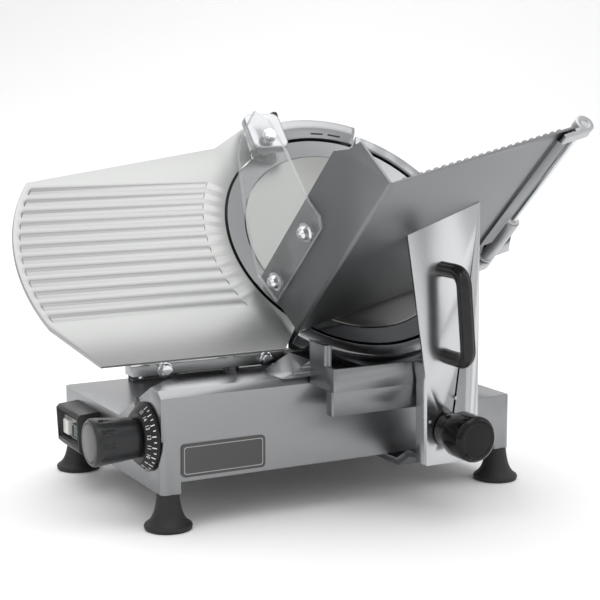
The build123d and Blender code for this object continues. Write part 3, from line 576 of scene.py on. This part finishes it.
@dataclass
class Workshop:
    """What every sub-assembly needs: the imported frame, its zero corners and the materials made so far."""

    frame: dict
    made: dict[str, bpy.types.Material] = field(default_factory=dict)
    pieces: int = 0

    def __post_init__(self) -> None:
        """Looks up slots, bodies and the blade's centre."""
        record = self.frame["record"]
        self.slots = {entry["node"]: entry["material_slot"] for entry in record["subparts"]}
        self.bodies = {node: body for body, nodes in record["behaviour"]["bodies"].items() for node in nodes}
        self.joints = {joint["name"]: joint for joint in record["behaviour"]["joints"]}
        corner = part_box("base_housing")[0]
        self.zero = Vector((corner.x, corner.y, 0.0))
        spin = self.joints["blade_spin"]
        normal = Vector(spin["axis"]).normalized()
        normal = normal if normal.z > 0 else -normal
        self.blade = facing(Vector(spin["pos_m"]), normal)
        self.lean = math.atan2(-normal.y, normal.z)

    def at(self, x: float, y: float, z: float) -> Vector:
        """Gives a place measured in millimetres from the base's front left corner, on the floor."""
        return self.zero + Vector((x, y, z)) * MM

    def material(self, finish: Finish) -> bpy.types.Material:
        """Makes a finish's material once and gives it again after that."""
        if finish.name not in self.made:
            self.made[finish.name] = finish.build()
        return self.made[finish.name]

    def dress(
        self, node: str, finish: Finish, edge: float = 0.0, sharp: float = 32.0, crowded: bool = False
    ) -> None:
        """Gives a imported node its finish, smooth shading and eased edges.

        Args:
            node: The node's name.
            finish: Its finish.
            edge: The size of the easing on its sharp edges in millimetres, or 0 for none.
            sharp: The angle in degrees from which an edge stays sharp.
            crowded: Whether the node has faces so narrow that the easing has to shrink to fit them.
        """
        piece = self.frame["nodes"][node]
        piece.data.materials.clear()
        piece.data.materials.append(self.material(finish))
        for polygon in piece.data.polygons:
            polygon.use_smooth = True
        piece.data.set_sharp_from_angle(angle=math.radians(sharp))
        if edge:
            weld = piece.modifiers.new("weld", "WELD")
            weld.merge_threshold = WELD_MM * MM
            bevel = piece.modifiers.new("eased_edges", "BEVEL")
            bevel.width = edge * MM
            bevel.segments = 2
            bevel.limit_method = "ANGLE"
            bevel.angle_limit = math.radians(sharp)
            bevel.use_clamp_overlap = crowded
            bevel.harden_normals = True

    def dress_faces(
        self, node: str, finish: Finish, chosen: Callable[[Vector, Vector], bool]
    ) -> None:
        """Gives some of a node's faces another finish.

        Args:
            node: The node's name.
            finish: The other finish.
            chosen: Says, from a face's centre and normal, whether it has that finish.
        """
        mesh = self.frame["nodes"][node].data
        mesh.materials.append(self.material(finish))
        for polygon in mesh.polygons:
            if chosen(polygon.center, polygon.normal):
                polygon.material_index = len(mesh.materials) - 1

    def piece(
        self, name: str, solid: Solid, finish: Finish, beside: str, sharp: float = 35.0
    ) -> bpy.types.Object:
        """Turns a mesh into a piece that moves with a node's body.

        Args:
            name: The piece's name.
            solid: Its mesh.
            finish: Its finish.
            beside: The node whose body it rides on.
            sharp: The angle in degrees from which an edge stays sharp.

        Returns:
            The piece.
        """
        bmesh.ops.recalc_face_normals(solid.mesh, faces=solid.mesh.faces)
        mesh = bpy.data.meshes.new(name)
        solid.mesh.to_mesh(mesh)
        solid.mesh.free()
        for polygon in mesh.polygons:
            polygon.use_smooth = True
        mesh.set_sharp_from_angle(angle=math.radians(sharp))
        mesh.materials.append(self.material(finish))
        made = bpy.data.objects.new(name, mesh)
        bpy.context.collection.objects.link(made)
        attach(made, self.bodies[beside])
        self.pieces += 1
        LOG.info("%s rides on %s", name, self.bodies[beside])
        return made

    def touch(self, node: str, start: Vector, way: Vector) -> Matrix:
        """Finds where a line first meets a node.

        Args:
            node: The node's name.
            start: Where the line starts.
            way: The way it goes.

        Returns:
            A frame there, with Z out of the surface.
        """
        hit, place, normal, _ = self.frame["nodes"][node].ray_cast(start, way.normalized())
        if not hit:
            raise ValueError(f"no surface of {node} on that line")
        up = Vector((0, 0, 1)) if abs(normal.z) < 0.9 else Vector((0, 1, 0))
        return facing(place, normal, up)


@dataclass
class SubAssembly:
    """A group of nodes that are dressed together. Sizes are in millimetres and angles in degrees."""

    shop: Workshop

    def dress(self) -> None:
        """Gives the group's nodes their finishes."""

    def build(self) -> None:
        """Builds the group's extra pieces, where it has any."""


@dataclass
class BaseShell(SubAssembly):
    """The cast base with its feet, its blank name plate, the rear wall and the inner rails."""

    edge: float = 1.2
    plate_inset: float = 3.0
    plate_line: float = 0.8
    plate_corner: float = 3.0
    screw_radius: float = 3.5
    screw_height: float = 2.0
    screws_across: tuple[float, float] = (95.0, 300.0)
    above_flange: tuple[float, float] = (290.0, 120.0)
    behind_wall: tuple[float, float] = (500.0, 220.0)

    def dress(self) -> None:
        """Gives the base, the feet and the inner parts their finishes."""
        self.shop.dress("base_housing", BASE_CAST, self.edge, crowded=True)
        for corner in ("front_left", "front_right", "rear_left", "rear_right"):
            self.shop.dress("foot_" + corner, RUBBER, sharp=50)
        self.shop.dress("name_plate", PLATE)
        self.shop.dress("rear_wall", WALL_SHEET, 0.4)
        self.shop.dress("cable_gland", SOFT_BLACK)
        for node in ("slide_rod", "guide_rail", "rod_brackets", "gauge_rod"):
            self.shop.dress(node, STEEL)

    def build(self) -> None:
        """Builds the name plate's border and the rear wall's screws."""
        low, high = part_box("name_plate")
        middle = Vector(((low.x + high.x) / 2, low.y, (low.z + high.z) / 2))
        wide, tall = (high.x - low.x) / MM, (high.z - low.z) / MM
        outline = rounded(wide - 2 * self.plate_inset, tall - 2 * self.plate_inset, self.plate_corner)
        border = Solid()
        border.border(facing(middle, Vector((0, -1, 0))), outline, self.plate_line, -0.3, 0.15)
        self.shop.piece("name_plate_border", border, ETCHED_LINE, "name_plate")
        screws = Solid()
        for x in self.screws_across:
            for start, way in ((self.above_flange, (0, 0, -1)), (self.behind_wall, (0, -1, 0))):
                seat = self.shop.touch("rear_wall", self.shop.at(x, *start), Vector(way))
                screws.screw(seat, self.screw_radius, self.screw_height)
        self.shop.piece("rear_wall_screws", screws, CHROME, "rear_wall")


@dataclass
class Dial(SubAssembly):
    """The thickness dial: scale ring, knob, index mark and the cam behind the wall."""

    numbers: int = 16
    step: float = 20.0
    first: float = 42.0
    rim: float = 38.5
    cone: float = 10.0
    rim_depth: float = 4.0
    text: float = 6.2
    raised: float = 0.15
    mark_width: float = 1.2
    mark_lengths: tuple[float, float] = (5.4, 3.2)
    index_from_centre: float = 44.5
    index_side: float = 9.0
    index_ribs: int = 4
    rib_pitch: float = 2.1

    def spot(self, angle: float, down: float) -> Matrix:
        """Gives a frame on the conical scale.

        Args:
            angle: Degrees from the top, towards the back.
            down: How far down the slope from the knob's side, from 0 to 1.

        Returns:
            The frame, with Z out of the slope and Y towards the rim.
        """
        turn = math.radians(angle)
        ray = Vector((0, math.sin(turn), math.cos(turn)))
        out = Vector((-1, 0, 0))
        radius = self.rim - self.cone * (1 - down)
        depth = self.rim_depth + self.cone * (1 - down)
        return facing(self.centre + (ray * radius + out * depth) * MM, ray + out, ray - out)

    def dress(self) -> None:
        """Gives the dial's parts their finishes."""
        self.shop.dress("dial_ring", DIAL_BLACK)
        self.shop.dress("dial_knob", KNOB_BLACK, 0.6)
        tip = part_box("dial_knob")[0].x
        self.shop.dress_faces("dial_knob", KNOB_CAP, lambda c, n: c.x < tip + 0.2 * MM and n.x < -0.9)
        for node in ("dial_shaft", "scroll_cam", "gauge_slider"):
            self.shop.dress(node, STEEL, 0.3)

    def scale(self) -> Solid:
        """Makes the scale's long and short marks and its numbers.

        Returns:
            Their mesh.
        """
        marks = Solid()
        for i in range(2 * self.numbers - 1):
            long = self.mark_lengths[i % 2]
            down = 1 - long / 2 / self.cone / math.sqrt(2) - 0.06
            place = self.spot(self.first + self.step * i / 2, down)
            marks.prism(place, rounded(self.mark_width, long, 0.4, 2), -0.3, 0.2)
        for i in range(self.numbers):
            letters = bpy.data.curves.new("number", "FONT")
            letters.body = str(i)
            letters.size = self.text * MM
            letters.extrude = self.raised * MM
            letters.align_x = letters.align_y = "CENTER"
            carrier = bpy.data.objects.new("number", letters)
            mesh = bpy.data.meshes.new_from_object(carrier)
            mesh.transform(self.spot(self.first + self.step * i, 0.3))
            marks.mesh.from_mesh(mesh)
            bpy.data.objects.remove(carrier)
        return marks

    def build(self) -> None:
        """Builds the scale's marks and numbers, the knob's cap and the index on the wall."""
        low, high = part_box("dial_ring")
        self.centre = Vector((self.shop.zero.x, (low.y + high.y) / 2, (low.z + high.z) / 2))
        self.shop.piece("dial_scale", self.scale(), WHITE_INK, "dial_ring")
        turn = math.radians(self.first)
        ray = Vector((0, math.sin(turn), math.cos(turn)))
        place = facing(self.centre + ray * self.index_from_centre * MM, Vector((-1, 0, 0)), ray)
        index = Solid()
        index.prism(place, rounded(self.index_side, self.index_side, 1.5), -0.5, 1.5, 0.6)
        for i in range(self.index_ribs):
            aside = self.rib_pitch * (i - (self.index_ribs - 1) / 2)
            rib = place @ Matrix.Translation(Vector((aside, 0, 0)) * MM)
            index.prism(rib, rounded(1.0, 7.4, 0.4), 1.0, 2.4, 0.3)
        self.shop.piece("dial_index", index, CAST_BODY, "base_housing")
        knob_low, knob_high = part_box("dial_knob")
        face = Vector((knob_low.x, self.centre.y, self.centre.z))
        cap = Solid()
        radius = (knob_high.z - knob_low.z) / 2 / MM
        rim = [(radius - 4.6, -0.2), (radius - 4.4, 0.0), (radius - 5.4, 0.0), (radius - 5.8, -0.3)]
        cap.lathe(facing(face, Vector((-1, 0, 0))), [*rim, (0, -0.3)], 48)
        self.shop.piece("dial_knob_cap", cap, KNOB_CAP, "dial_knob")


@dataclass
class SwitchBox(SubAssembly):
    """The hooded switch box with its two push buttons."""

    rim: float = 1.3
    rise: float = 0.7
    inset: float = 1.2
    corner: float = 2.0

    def dress(self) -> None:
        """Gives the switch's parts their finishes."""
        self.shop.dress("switch_housing", SOFT_BLACK, 0.6)
        self.shop.dress("switch_panel", PANEL, 0.2)
        self.shop.dress("start_button", GREEN, 0.3, crowded=True)
        self.shop.dress("stop_button", WHITE_BUTTON, 0.3, crowded=True)

    def build(self) -> None:
        """Builds the raised rims of the buttons."""
        for node, finish in (("start_button", GREEN_RIM), ("stop_button", WHITE_BUTTON)):
            low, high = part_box(node)
            middle = Vector((low.x, (low.y + high.y) / 2, (low.z + high.z) / 2))
            side = (high.y - low.y) / MM - self.inset
            outline = rounded(side, side, self.corner)
            rim = Solid()
            rim.border(facing(middle, Vector((-1, 0, 0))), outline, self.rim, -0.3, self.rise)
            self.shop.piece(node + "_rim", rim, finish, node)


@dataclass
class BladeHead(SubAssembly):
    """The blade, its cover, the ring guard, the castings behind and the drive."""

    ground_from: float = 148.5
    pan_radius: float = 92.0
    screw_angles: tuple[float, ...] = (72.0, 132.0, 192.0, 252.0, 312.0, 12.0)
    shield_arc: tuple[float, float] = (117.0, 226.0)
    slots: int = 7
    slot_size: tuple[float, float] = (4.0, 42.0)

    def dress(self) -> None:
        """Gives the head's parts their finishes."""
        centre = tuple(self.shop.blade.translation)
        knife = Spun("ground_knife_steel", "9b9c9e", 0.17, centre, self.shop.lean, 1.2)
        cover = Spun("spun_anodised_aluminium", "878886", 0.34, centre, self.shop.lean, 2.2)
        ring = Spun("turned_cast_aluminium", "a2a3a5", 0.24, centre, self.shop.lean, 1.8)
        self.shop.dress("blade", knife, sharp=25)
        hub, out = self.shop.blade.translation, self.shop.blade.to_3x3().col[2]
        rim = self.ground_from * MM
        self.shop.dress_faces(
            "blade", GROUND_EDGE, lambda c, n: (c - hub - out * (c - hub).dot(out)).length > rim
        )
        self.shop.dress("blade_cover", cover, 0.3)
        self.shop.dress("ring_guard", ring, 0.5, 25)
        self.shop.dress("head_skirt", CAST_BODY, 1.0, crowded=True)
        for node in ("blade_head", "pulley_cover", "motor_housing"):
            self.shop.dress(node, CAST_BODY, 0.6)
        for node in ("blade_pulley", "blade_spindle", "blade_screws"):
            self.shop.dress(node, STEEL)
        for node in ("spindle_bearings", "cover_tie_rod", "motor_pulley"):
            self.shop.dress(node, STEEL)
        self.shop.dress("motor", PAINT)
        self.shop.dress("drive_belt", RUBBER)

    def build(self) -> None:
        """Builds the screws, a dark shield behind the blade whose colour is painted shade in the gap inside
        the ring guard, and the motor's cooling slots.
        """
        blade = self.shop.blade
        out = blade.to_3x3().col[2]
        screws = Solid()
        for angle in self.screw_angles:
            turn = math.radians(angle)
            across, up = self.pan_radius * math.cos(turn), self.pan_radius * math.sin(turn)
            seat = self.shop.touch("pulley_cover", blade @ (Vector((across, up, -200)) * MM), out)
            screws.screw(seat, 4.0, 2.4)
        self.shop.piece("pulley_cover_screws", screws, CHROME, "pulley_cover")
        # The shield's dark colour is painted shade, seen in the gap between the blade's rim and the ring
        # guard.
        shield = Solid()
        section = [(107, -26), (107, -24.6), (155, -24.6), (157, -25.2), (157, -26)]
        shield.arc(blade, section, *self.shield_arc)
        self.shop.piece("painted_shade_shield", shield, SHIELD_PAINTED_SHADE, "blade_head")
        low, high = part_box("motor_housing")
        slots = Solid()
        for i in range(self.slots):
            x = low.x + (high.x - low.x) * (0.2 + 0.1 * i)
            start = Vector((x, high.y + 0.2, low.z + 0.05))
            place = self.shop.touch("motor_housing", start, Vector((0, -1, 0)))
            slots.prism(place, rounded(*self.slot_size, 1.9), -0.3, 0.25, 0.1)
        self.shop.piece("motor_cooling_slots", slots, SOFT_BLACK, "motor_housing")


@dataclass
class Sharpener(SubAssembly):
    """The sharpener block, its stones, the hood over the blade and the hood's knob."""

    stone_half: float = 9.0
    slot_radius: float = 158.0
    slot_angles: tuple[float, float] = (76.0, 84.5)
    slot_size: tuple[float, float] = (17.0, 2.0)

    def dress(self) -> None:
        """Gives the sharpener's parts their finishes."""
        self.shop.dress("sharpener_body", RING_CAST, 0.6, crowded=True)
        self.shop.dress("sharpener_hood", HOOD_CAST, 0.6, 25)
        self.shop.dress("hood_knob", BLACK_PLASTIC, sharp=28)
        normal, centre = self.shop.blade.to_3x3().col[2], self.shop.blade.translation
        reach = self.stone_half * MM
        for node in ("grinding_stone", "deburr_stone"):
            self.shop.dress(node, STONE)
            self.shop.dress_faces(node, CHROME, lambda c, n: abs((c - centre).dot(normal)) > reach)

    def build(self) -> None:
        """Builds the two slots in the hood's web."""
        blade = self.shop.blade
        turned = blade.to_3x3()
        slots = Solid()
        for angle in self.slot_angles:
            turn = math.radians(angle)
            ray = Vector((math.cos(turn), math.sin(turn), 0))
            start = blade @ (ray * self.slot_radius * MM + Vector((0, 0, 60 * MM)))
            hit = self.shop.touch("sharpener_hood", start, -turned.col[2])
            place = facing(hit.translation, hit.to_3x3().col[2], turned @ ray)
            slots.prism(place, rounded(*self.slot_size, 0.9), -0.4, 0.2)
        self.shop.piece("hood_slots", slots, SOFT_BLACK, "sharpener_hood")


@dataclass
class GaugePlate(SubAssembly):
    """The fluted gauge plate with its bracket, bolts and post."""

    bolts_across: tuple[float, float] = (33.0, 160.0)
    bolt_height: float = 166.0

    def dress(self) -> None:
        """Gives the gauge's parts their finishes."""
        self.shop.dress("gauge_plate", GAUGE_SHEET, 0.7)
        self.shop.dress("gauge_bracket", BAR_SHEET, 0.8)
        self.shop.dress("gauge_bolts", CHROME, 0.3)
        self.shop.dress("gauge_post", STEEL)

    def build(self) -> None:
        """Builds the turned faces on the bolts' heads."""
        faces = Solid()
        for x in self.bolts_across:
            middle = self.shop.at(x, 0, self.bolt_height)
            middle.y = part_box("gauge_bolts")[0].y
            profile = [(5.6, -0.2), (5.2, 0.25), (0, 0.25)]
            faces.lathe(facing(middle, Vector((0, -1, 0))), profile, 24)
        self.shop.piece("gauge_bolt_faces", faces, CHROME, "gauge_bolts")


@dataclass
class Carriage(SubAssembly):
    """The arm with its handle, its clamp knob and the block that slides below."""

    radius: float = 8.5
    reach: float = 42.0
    bend: float = 15.0
    top: tuple[float, float] = (304.0, 280.0)
    bottom: tuple[float, float] = (313.0, 180.0)
    grooves: tuple[float, ...] = (-78.0, -26.0, 26.0, 78.0)
    groove_depth: float = 0.9
    groove_width: float = 8.0
    arm_screws: tuple[tuple[float, float], ...] = ((325.0, 131.5), (291.0, 107.6))

    def dress(self) -> None:
        """Gives the carriage's parts their finishes."""
        self.shop.dress("carriage_arm", BRUSHED_SHEET, 0.6)
        self.shop.dress("clamp_knob", GLOSS_BLACK, 1.2)
        self.shop.dress("arm_foot", CAST_BODY, 0.5)
        self.shop.dress("slide_block", CAST_BODY, 0.5)
        self.shop.dress("slide_bushes", BRONZE)

    def handle_line(self) -> list[Vector]:
        """Gives the line through the middle of the handle.

        Returns:
            Points in metres, from the upper end to the lower end.
        """
        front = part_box("carriage_handle")[1].y
        corners = []
        for (x, z), out in (
            (self.top, 0.0),
            (self.top, self.reach),
            (self.bottom, self.reach),
            (self.bottom, 0.0),
        ):
            place = self.shop.at(x, 0, z)
            corners.append(Vector((place.x, front - out * MM, place.z)))
        line = [corners[0]]
        for i in (1, 2):
            here = corners[i]
            before, after = (corners[i - 1] - here).normalized(), (corners[i + 1] - here).normalized()
            half = before.angle(after) / 2
            centre = here + (before + after).normalized() * (self.bend * MM / math.sin(half))
            tangent = self.bend * MM / math.tan(half)
            start = (here + before * tangent - centre).normalized()
            end = (here + after * tangent - centre).normalized()
            line += [centre + start.slerp(end, k / 8) * (self.bend * MM) for k in range(9)]
        return line + [corners[3]]

    def handle(self) -> Solid:
        """Makes the handle: a bent rod with four shallow grooves along it.

        Returns:
            Its mesh.
        """
        line = self.handle_line()
        side = (line[-1] - line[0]).cross(Vector((0, 1, 0))).normalized()
        rings = []
        for i, point in enumerate(line):
            along = (line[min(i + 1, len(line) - 1)] - line[max(i - 1, 0)]).normalized()
            out = along.cross(side).normalized()
            ring = []
            for degrees in range(0, 360, 5):
                away = min(abs((degrees - groove + 180) % 360 - 180) for groove in self.grooves)
                dip = self.groove_depth * math.exp(-((away / self.groove_width) ** 2))
                radius = (self.radius - dip) * MM
                turn = math.radians(degrees)
                ring.append(point + out * (radius * math.cos(turn)) + side * (radius * math.sin(turn)))
            rings.append(ring)
        grip = Solid()
        grip.loft(rings)
        return grip

    def build(self) -> None:
        """Builds the grooved handle, the arm's screws and the clamp knob's cap."""
        grip = self.shop.piece("grooved_handle", self.handle(), BLACK_PLASTIC, "carriage_handle", 40)
        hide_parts("carriage_handle")
        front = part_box("carriage_arm")[0].y
        screws = Solid()
        for x, z in self.arm_screws:
            spot = self.shop.at(x, 0, z)
            spot.y = front - 0.05
            screws.screw(self.shop.touch("carriage_arm", spot, Vector((0, 1, 0))), 1.7, 1.1)
        self.shop.piece("arm_screws", screws, STEEL, "carriage_arm")
        low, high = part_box("clamp_knob")
        middle = Vector(((low.x + high.x) / 2, low.y, (low.z + high.z) / 2))
        rim = Solid()
        profile = [(19.5, -0.3), (19.2, 0.15), (17.8, 0.15), (17.4, -0.1), (0, -0.1)]
        rim.lathe(facing(middle, Vector((0, -1, 0))), profile, 48)
        self.shop.piece("clamp_knob_cap", rim, GLOSS_BLACK, "clamp_knob")


@dataclass
class FoodTray(SubAssembly):
    """The food tray, its clear guard and the pusher on its rod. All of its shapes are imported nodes."""

    def dress(self) -> None:
        """Gives the tray's and the pusher's parts their finishes."""
        self.shop.dress("tray", TRAY_SHEET, 0.5)
        self.shop.dress("clear_guard", CLEAR, 0.4)
        self.shop.dress("guard_nuts", CHROME, sharp=28)
        self.shop.dress("pusher_rod", CHROME)
        self.shop.dress("pusher_rod_brackets", BRACKET_CAST, 0.6)
        self.shop.dress("pusher_bush", LIGHT_SLEEVE, sharp=28)
        self.shop.dress("pusher_arm", BRACKET_CAST, 0.8)
        self.shop.dress("pusher_plate", BRACKET_CAST, 0.5)
        self.shop.dress("pusher_grip", BLACK_PLASTIC, sharp=40)
        flat = self.guard_normal()
        # The guard's edge faces take a paler, less clear finish: painted highlight for the light gathered in
        # the edge.
        self.shop.dress_faces("clear_guard", ACRYLIC_EDGE_PAINTED_GLOW, lambda c, n: abs(n.dot(flat)) < 0.6)

    def guard_normal(self) -> Vector:
        """Gives the way that most of the clear guard's surface faces.

        Returns:
            A vector of length 1.
        """
        polygons = self.shop.frame["nodes"]["clear_guard"].data.polygons
        areas: dict[tuple[float, ...], float] = {}
        for polygon in polygons:
            key = tuple(round(abs(v), 1) for v in polygon.normal)
            areas[key] = areas.get(key, 0.0) + polygon.area
        widest = max(areas, key=lambda key: areas[key])
        alike = [p.normal.copy() for p in polygons if tuple(round(abs(v), 1) for v in p.normal) == widest]
        return alike[0].normalized()


@dataclass
class Studio:
    """The floor, the lights and the camera, in metres and degrees.

    The floor runs from front to back, bends up into a wall as high as rise, and lies a little below
    the object. The camera stands at an offset from the base's front left corner.
    """

    front: float = -3.5
    back: float = 3.2
    rise: float = 3.0
    bend: float = 1.2
    width: float = 9.0
    below: float = 0.0005
    turn: float = -28.0
    offset: tuple[float, float] = (-0.6282, -1.4967)
    eye: float = 0.5102
    yaw: float = 28.06
    pitch: float = 8.937
    lens: float = 92.34
    sensor: float = 36
    glow: float = 0.84

    def floor(self) -> None:
        """Builds a pale floor that curves up behind into a backdrop."""
        profile = [(self.front, 0.0), (self.back - self.bend, 0.0)]
        for degrees in range(10, 91, 10):
            turn = math.radians(degrees)
            across = self.back - self.bend + self.bend * math.sin(turn)
            profile.append((across, self.bend - self.bend * math.cos(turn)))
        profile.append((self.back, self.rise))
        mesh = bpy.data.meshes.new("studio_floor")
        points = [
            (side * self.width / 2, y, z - self.below) for y, z in profile for side in (-1, 1)
        ]
        faces = [(2 * i, 2 * i + 1, 2 * i + 3, 2 * i + 2) for i in range(len(profile) - 1)]
        mesh.from_pydata(points, [], faces)
        mesh.polygons.foreach_set("use_smooth", [True] * len(faces))
        floor = bpy.data.objects.new("studio_floor", mesh)
        floor.rotation_euler = (0, 0, math.radians(self.turn))
        bpy.context.collection.objects.link(floor)
        material = bpy.data.materials.new("matt_white_paper")
        material.use_nodes = True
        shader = material.node_tree.nodes["Principled BSDF"]
        shader.inputs["Base Color"].default_value = linear("fbfbfb")
        shader.inputs["Roughness"].default_value = 0.9
        shader.inputs["Specular IOR Level"].default_value = 0.1
        mesh.materials.append(material)

    def area(self, name: str, place: Point, aim: Point, size: tuple[float, float], power: float) -> None:
        """Adds one soft light.

        Args:
            name: The light's name.
            place: Where it stands.
            aim: What it points at.
            size: Its width and height in metres.
            power: Its power in watts.
        """
        lamp = bpy.data.lights.new(name, "AREA")
        lamp.shape = "RECTANGLE"
        lamp.size, lamp.size_y = size
        lamp.energy = power
        light = bpy.data.objects.new(name, lamp)
        light.location = place
        light.rotation_euler = (Vector(aim) - Vector(place)).to_track_quat("-Z", "Y").to_euler()
        bpy.context.collection.objects.link(light)

    def lights(self) -> None:
        """Adds the soft boxes."""
        aim = (0.0, 0.0, 0.2)
        self.area("top_box", (-0.1, -0.2, 2.4), aim, (2.8, 2.4), 30)
        self.area("left_box", (-2.4, -1.0, 1.2), aim, (1.4, 1.6), 5)
        self.area("right_box", (2.3, -1.0, 1.1), aim, (0.9, 1.6), 5)
        self.area("front_card", (1.5, -2.6, 0.75), aim, (1.5, 1.0), 4)
        self.area("back_box", (0.3, 2.2, 1.9), aim, (2.4, 1.0), 14)

    def surround(self) -> None:
        """Adds the pale surround, which is a little darker towards the horizon."""
        world = bpy.data.worlds.new("surround")
        bpy.context.scene.world = world
        world.use_nodes = True
        tree = world.node_tree
        tree.nodes.clear()
        where = add_node(tree, "ShaderNodeTexCoord")
        split = add_node(tree, "ShaderNodeSeparateXYZ", links={"Vector": where.outputs["Generated"]})
        ramp = add_node(tree, "ShaderNodeValToRGB", links={"Fac": split.outputs["Z"]})
        for stop, (height, colour) in zip(ramp.color_ramp.elements, ((0.0, "c2c2c2"), (0.6, "ffffff"))):
            stop.position = height
            stop.color = linear(colour)
        glow = add_node(
            tree, "ShaderNodeBackground", {"Strength": self.glow}, {"Color": ramp.outputs["Color"]}
        )
        add_node(tree, "ShaderNodeOutputWorld", links={"Surface": glow.outputs["Background"]})
        bpy.context.scene.view_settings.view_transform = "Standard"

    def camera(self) -> None:
        """Adds the camera: eye height about half a metre, to the left of the front."""
        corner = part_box("base_housing")[0]
        place = Vector((corner.x + self.offset[0], corner.y + self.offset[1], self.eye))
        yaw, pitch = math.radians(self.yaw), math.radians(self.pitch)
        look = Vector(
            (math.sin(yaw) * math.cos(pitch), math.cos(yaw) * math.cos(pitch), -math.sin(pitch))
        )
        lens = bpy.data.cameras.new("camera")
        lens.lens = self.lens
        lens.sensor_width = self.sensor
        camera = bpy.data.objects.new("camera", lens)
        camera.location = place
        camera.rotation_euler = look.to_track_quat("-Z", "Y").to_euler()
        bpy.context.collection.objects.link(camera)
        bpy.context.scene.camera = camera


# Cast aluminium, bead-blasted and anodised: an even satin grey with soft highlights.
CAST_BODY = Metal("anodised_cast_aluminium", "8b8c8e", 0.34, grain_mm=0.7, depth_mm=0.012)
BASE_CAST = Metal("bead_blasted_cast_aluminium", "949597", 0.33, grain_mm=0.7, depth_mm=0.012)
# The hood and the brackets are smoother castings, which take a softer shine.
HOOD_CAST = Metal("tumbled_cast_aluminium", "a6a7a9", 0.30, grain_mm=0.8, depth_mm=0.01)
BRACKET_CAST = Metal("silver_cast_aluminium", "b4b5b7", 0.36, grain_mm=0.7)
# Cold-rolled stainless sheet, brushed: bright, with fine lines along its length.
BRUSHED_SHEET = Metal("brushed_stainless_sheet", "c3c4c6", 0.22, Grain.ALONG_Z, grain_mm=0.5)
WALL_SHEET = Metal("dull_stainless_sheet", "6c6d6f", 0.38, Grain.ALONG_X, grain_mm=0.5)
# Rolled aluminium sheet, anodised: a duller mid grey.
TRAY_SHEET = Metal("anodised_rolled_aluminium", "868789", 0.40, Grain.ALONG_X, grain_mm=0.6)
# Pressed aluminium, anodised in a very light silver.
GAUGE_SHEET = Metal("silver_anodised_aluminium", "aaabaa", 0.42, Grain.ALONG_X, grain_mm=0.6)
BAR_SHEET = Metal("silver_anodised_bar", "a4a5a6", 0.34, Grain.ALONG_X, grain_mm=0.5)
RING_CAST = Metal("polished_cast_aluminium", "adaeb0", 0.20, grain_mm=0.5, depth_mm=0.006)
CHROME = Metal("chromed_steel", "dcdee0", 0.08, grain_mm=0.4, depth_mm=0.002, tint=0.02)
STEEL = Metal("ground_steel", "a8a9ab", 0.28, grain_mm=0.4)
# The shield behind the blade is coloured far darker than the other castings: painted shade for the gap
# between the blade's rim and the ring guard.
SHIELD_PAINTED_SHADE = Metal("shield_painted_shade", "505153", 0.45, grain_mm=0.7)
# The cutting bevel is ground across, so it is duller than the polished flat beside it.
GROUND_EDGE = Metal("ground_cutting_edge", "6a6b6d", 0.36, grain_mm=0.3)
BRONZE = Metal("sintered_bronze", "b08a55", 0.4, grain_mm=0.3)
# Phenolic and ABS mouldings: near black, with a fine spark-eroded grain and soft highlights.
BLACK_PLASTIC = Moulded("black_phenolic_plastic", "151515", 0.26, ior=1.42)
GLOSS_BLACK = Moulded(
    "polished_black_phenolic", "0a0a0b", 0.13, depth_mm=0.004, dust_amount=0.03, ior=1.34
)
KNOB_BLACK = Moulded("satin_black_nylon", "202123", 0.34, ior=1.44)
KNOB_CAP = Moulded("grey_nylon_cap", "3c3e3d", 0.30)
DIAL_BLACK = Moulded("black_dial_nylon", "131314", 0.42, ior=1.4)
SOFT_BLACK = Moulded("black_abs_plastic", "1d1d1e", 0.42)
RUBBER = Moulded("black_rubber", "1d1d1e", 0.62, grain_mm=0.8)
PANEL = Moulded("light_grey_abs", "a9aaa8", 0.4)
GREEN = Moulded("dark_green_abs", "14352b", 0.28)
GREEN_RIM = Moulded("green_abs_rim", "2c4a40", 0.25)
WHITE_BUTTON = Moulded("ivory_abs", "dcdcd8", 0.3)
WHITE_INK = Moulded("white_pad_ink", "e4e4e2", 0.5, depth_mm=0.0)
ETCHED_LINE = Metal("etched_plate_line", "b0b0ae", 0.4)
LIGHT_SLEEVE = Moulded("light_grey_acetal", "c6c7c8", 0.32)
PLATE = Moulded("dark_printed_plate", "464647", 0.33, grain_mm=0.4, depth_mm=0.008)
PAINT = Moulded("black_enamel", "242527", 0.3)
STONE = Moulded("bonded_abrasive", "8a7d74", 0.85, grain_mm=0.25, depth_mm=0.1)
# Acrylic sheet: clear on its faces. Its edge faces are given a paler, less clear grey, a painted highlight
# for the light that the edge gathers.
CLEAR = ClearSheet("clear_acrylic", "eef2f2", 0.06)
ACRYLIC_EDGE_PAINTED_GLOW = ClearSheet("acrylic_edge_painted_highlight", "c4c8c8", 0.10, 0.62)


def main() -> None:
    """Builds the sub-assemblies in order, then the studio."""
    logging.basicConfig(level=logging.INFO, format="%(name)s: %(message)s")
    shop = Workshop(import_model())
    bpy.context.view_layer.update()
    for maker in (BaseShell, Dial, SwitchBox, BladeHead, Sharpener, GaugePlate, Carriage, FoodTray):
        part = maker(shop)
        part.dress()
        part.build()
        LOG.info("%s is done", maker.__name__)
    bare = [name for name, node in shop.frame["nodes"].items() if not node.data.materials]
    if bare:
        raise ValueError(f"nodes without a finish: {bare}")
    studio = Studio()
    studio.floor()
    studio.lights()
    studio.surround()
    studio.camera()
    LOG.info("dressed %d nodes and built %d pieces", len(shop.frame["nodes"]), shop.pieces)


if __name__ == "__main__":
    main()
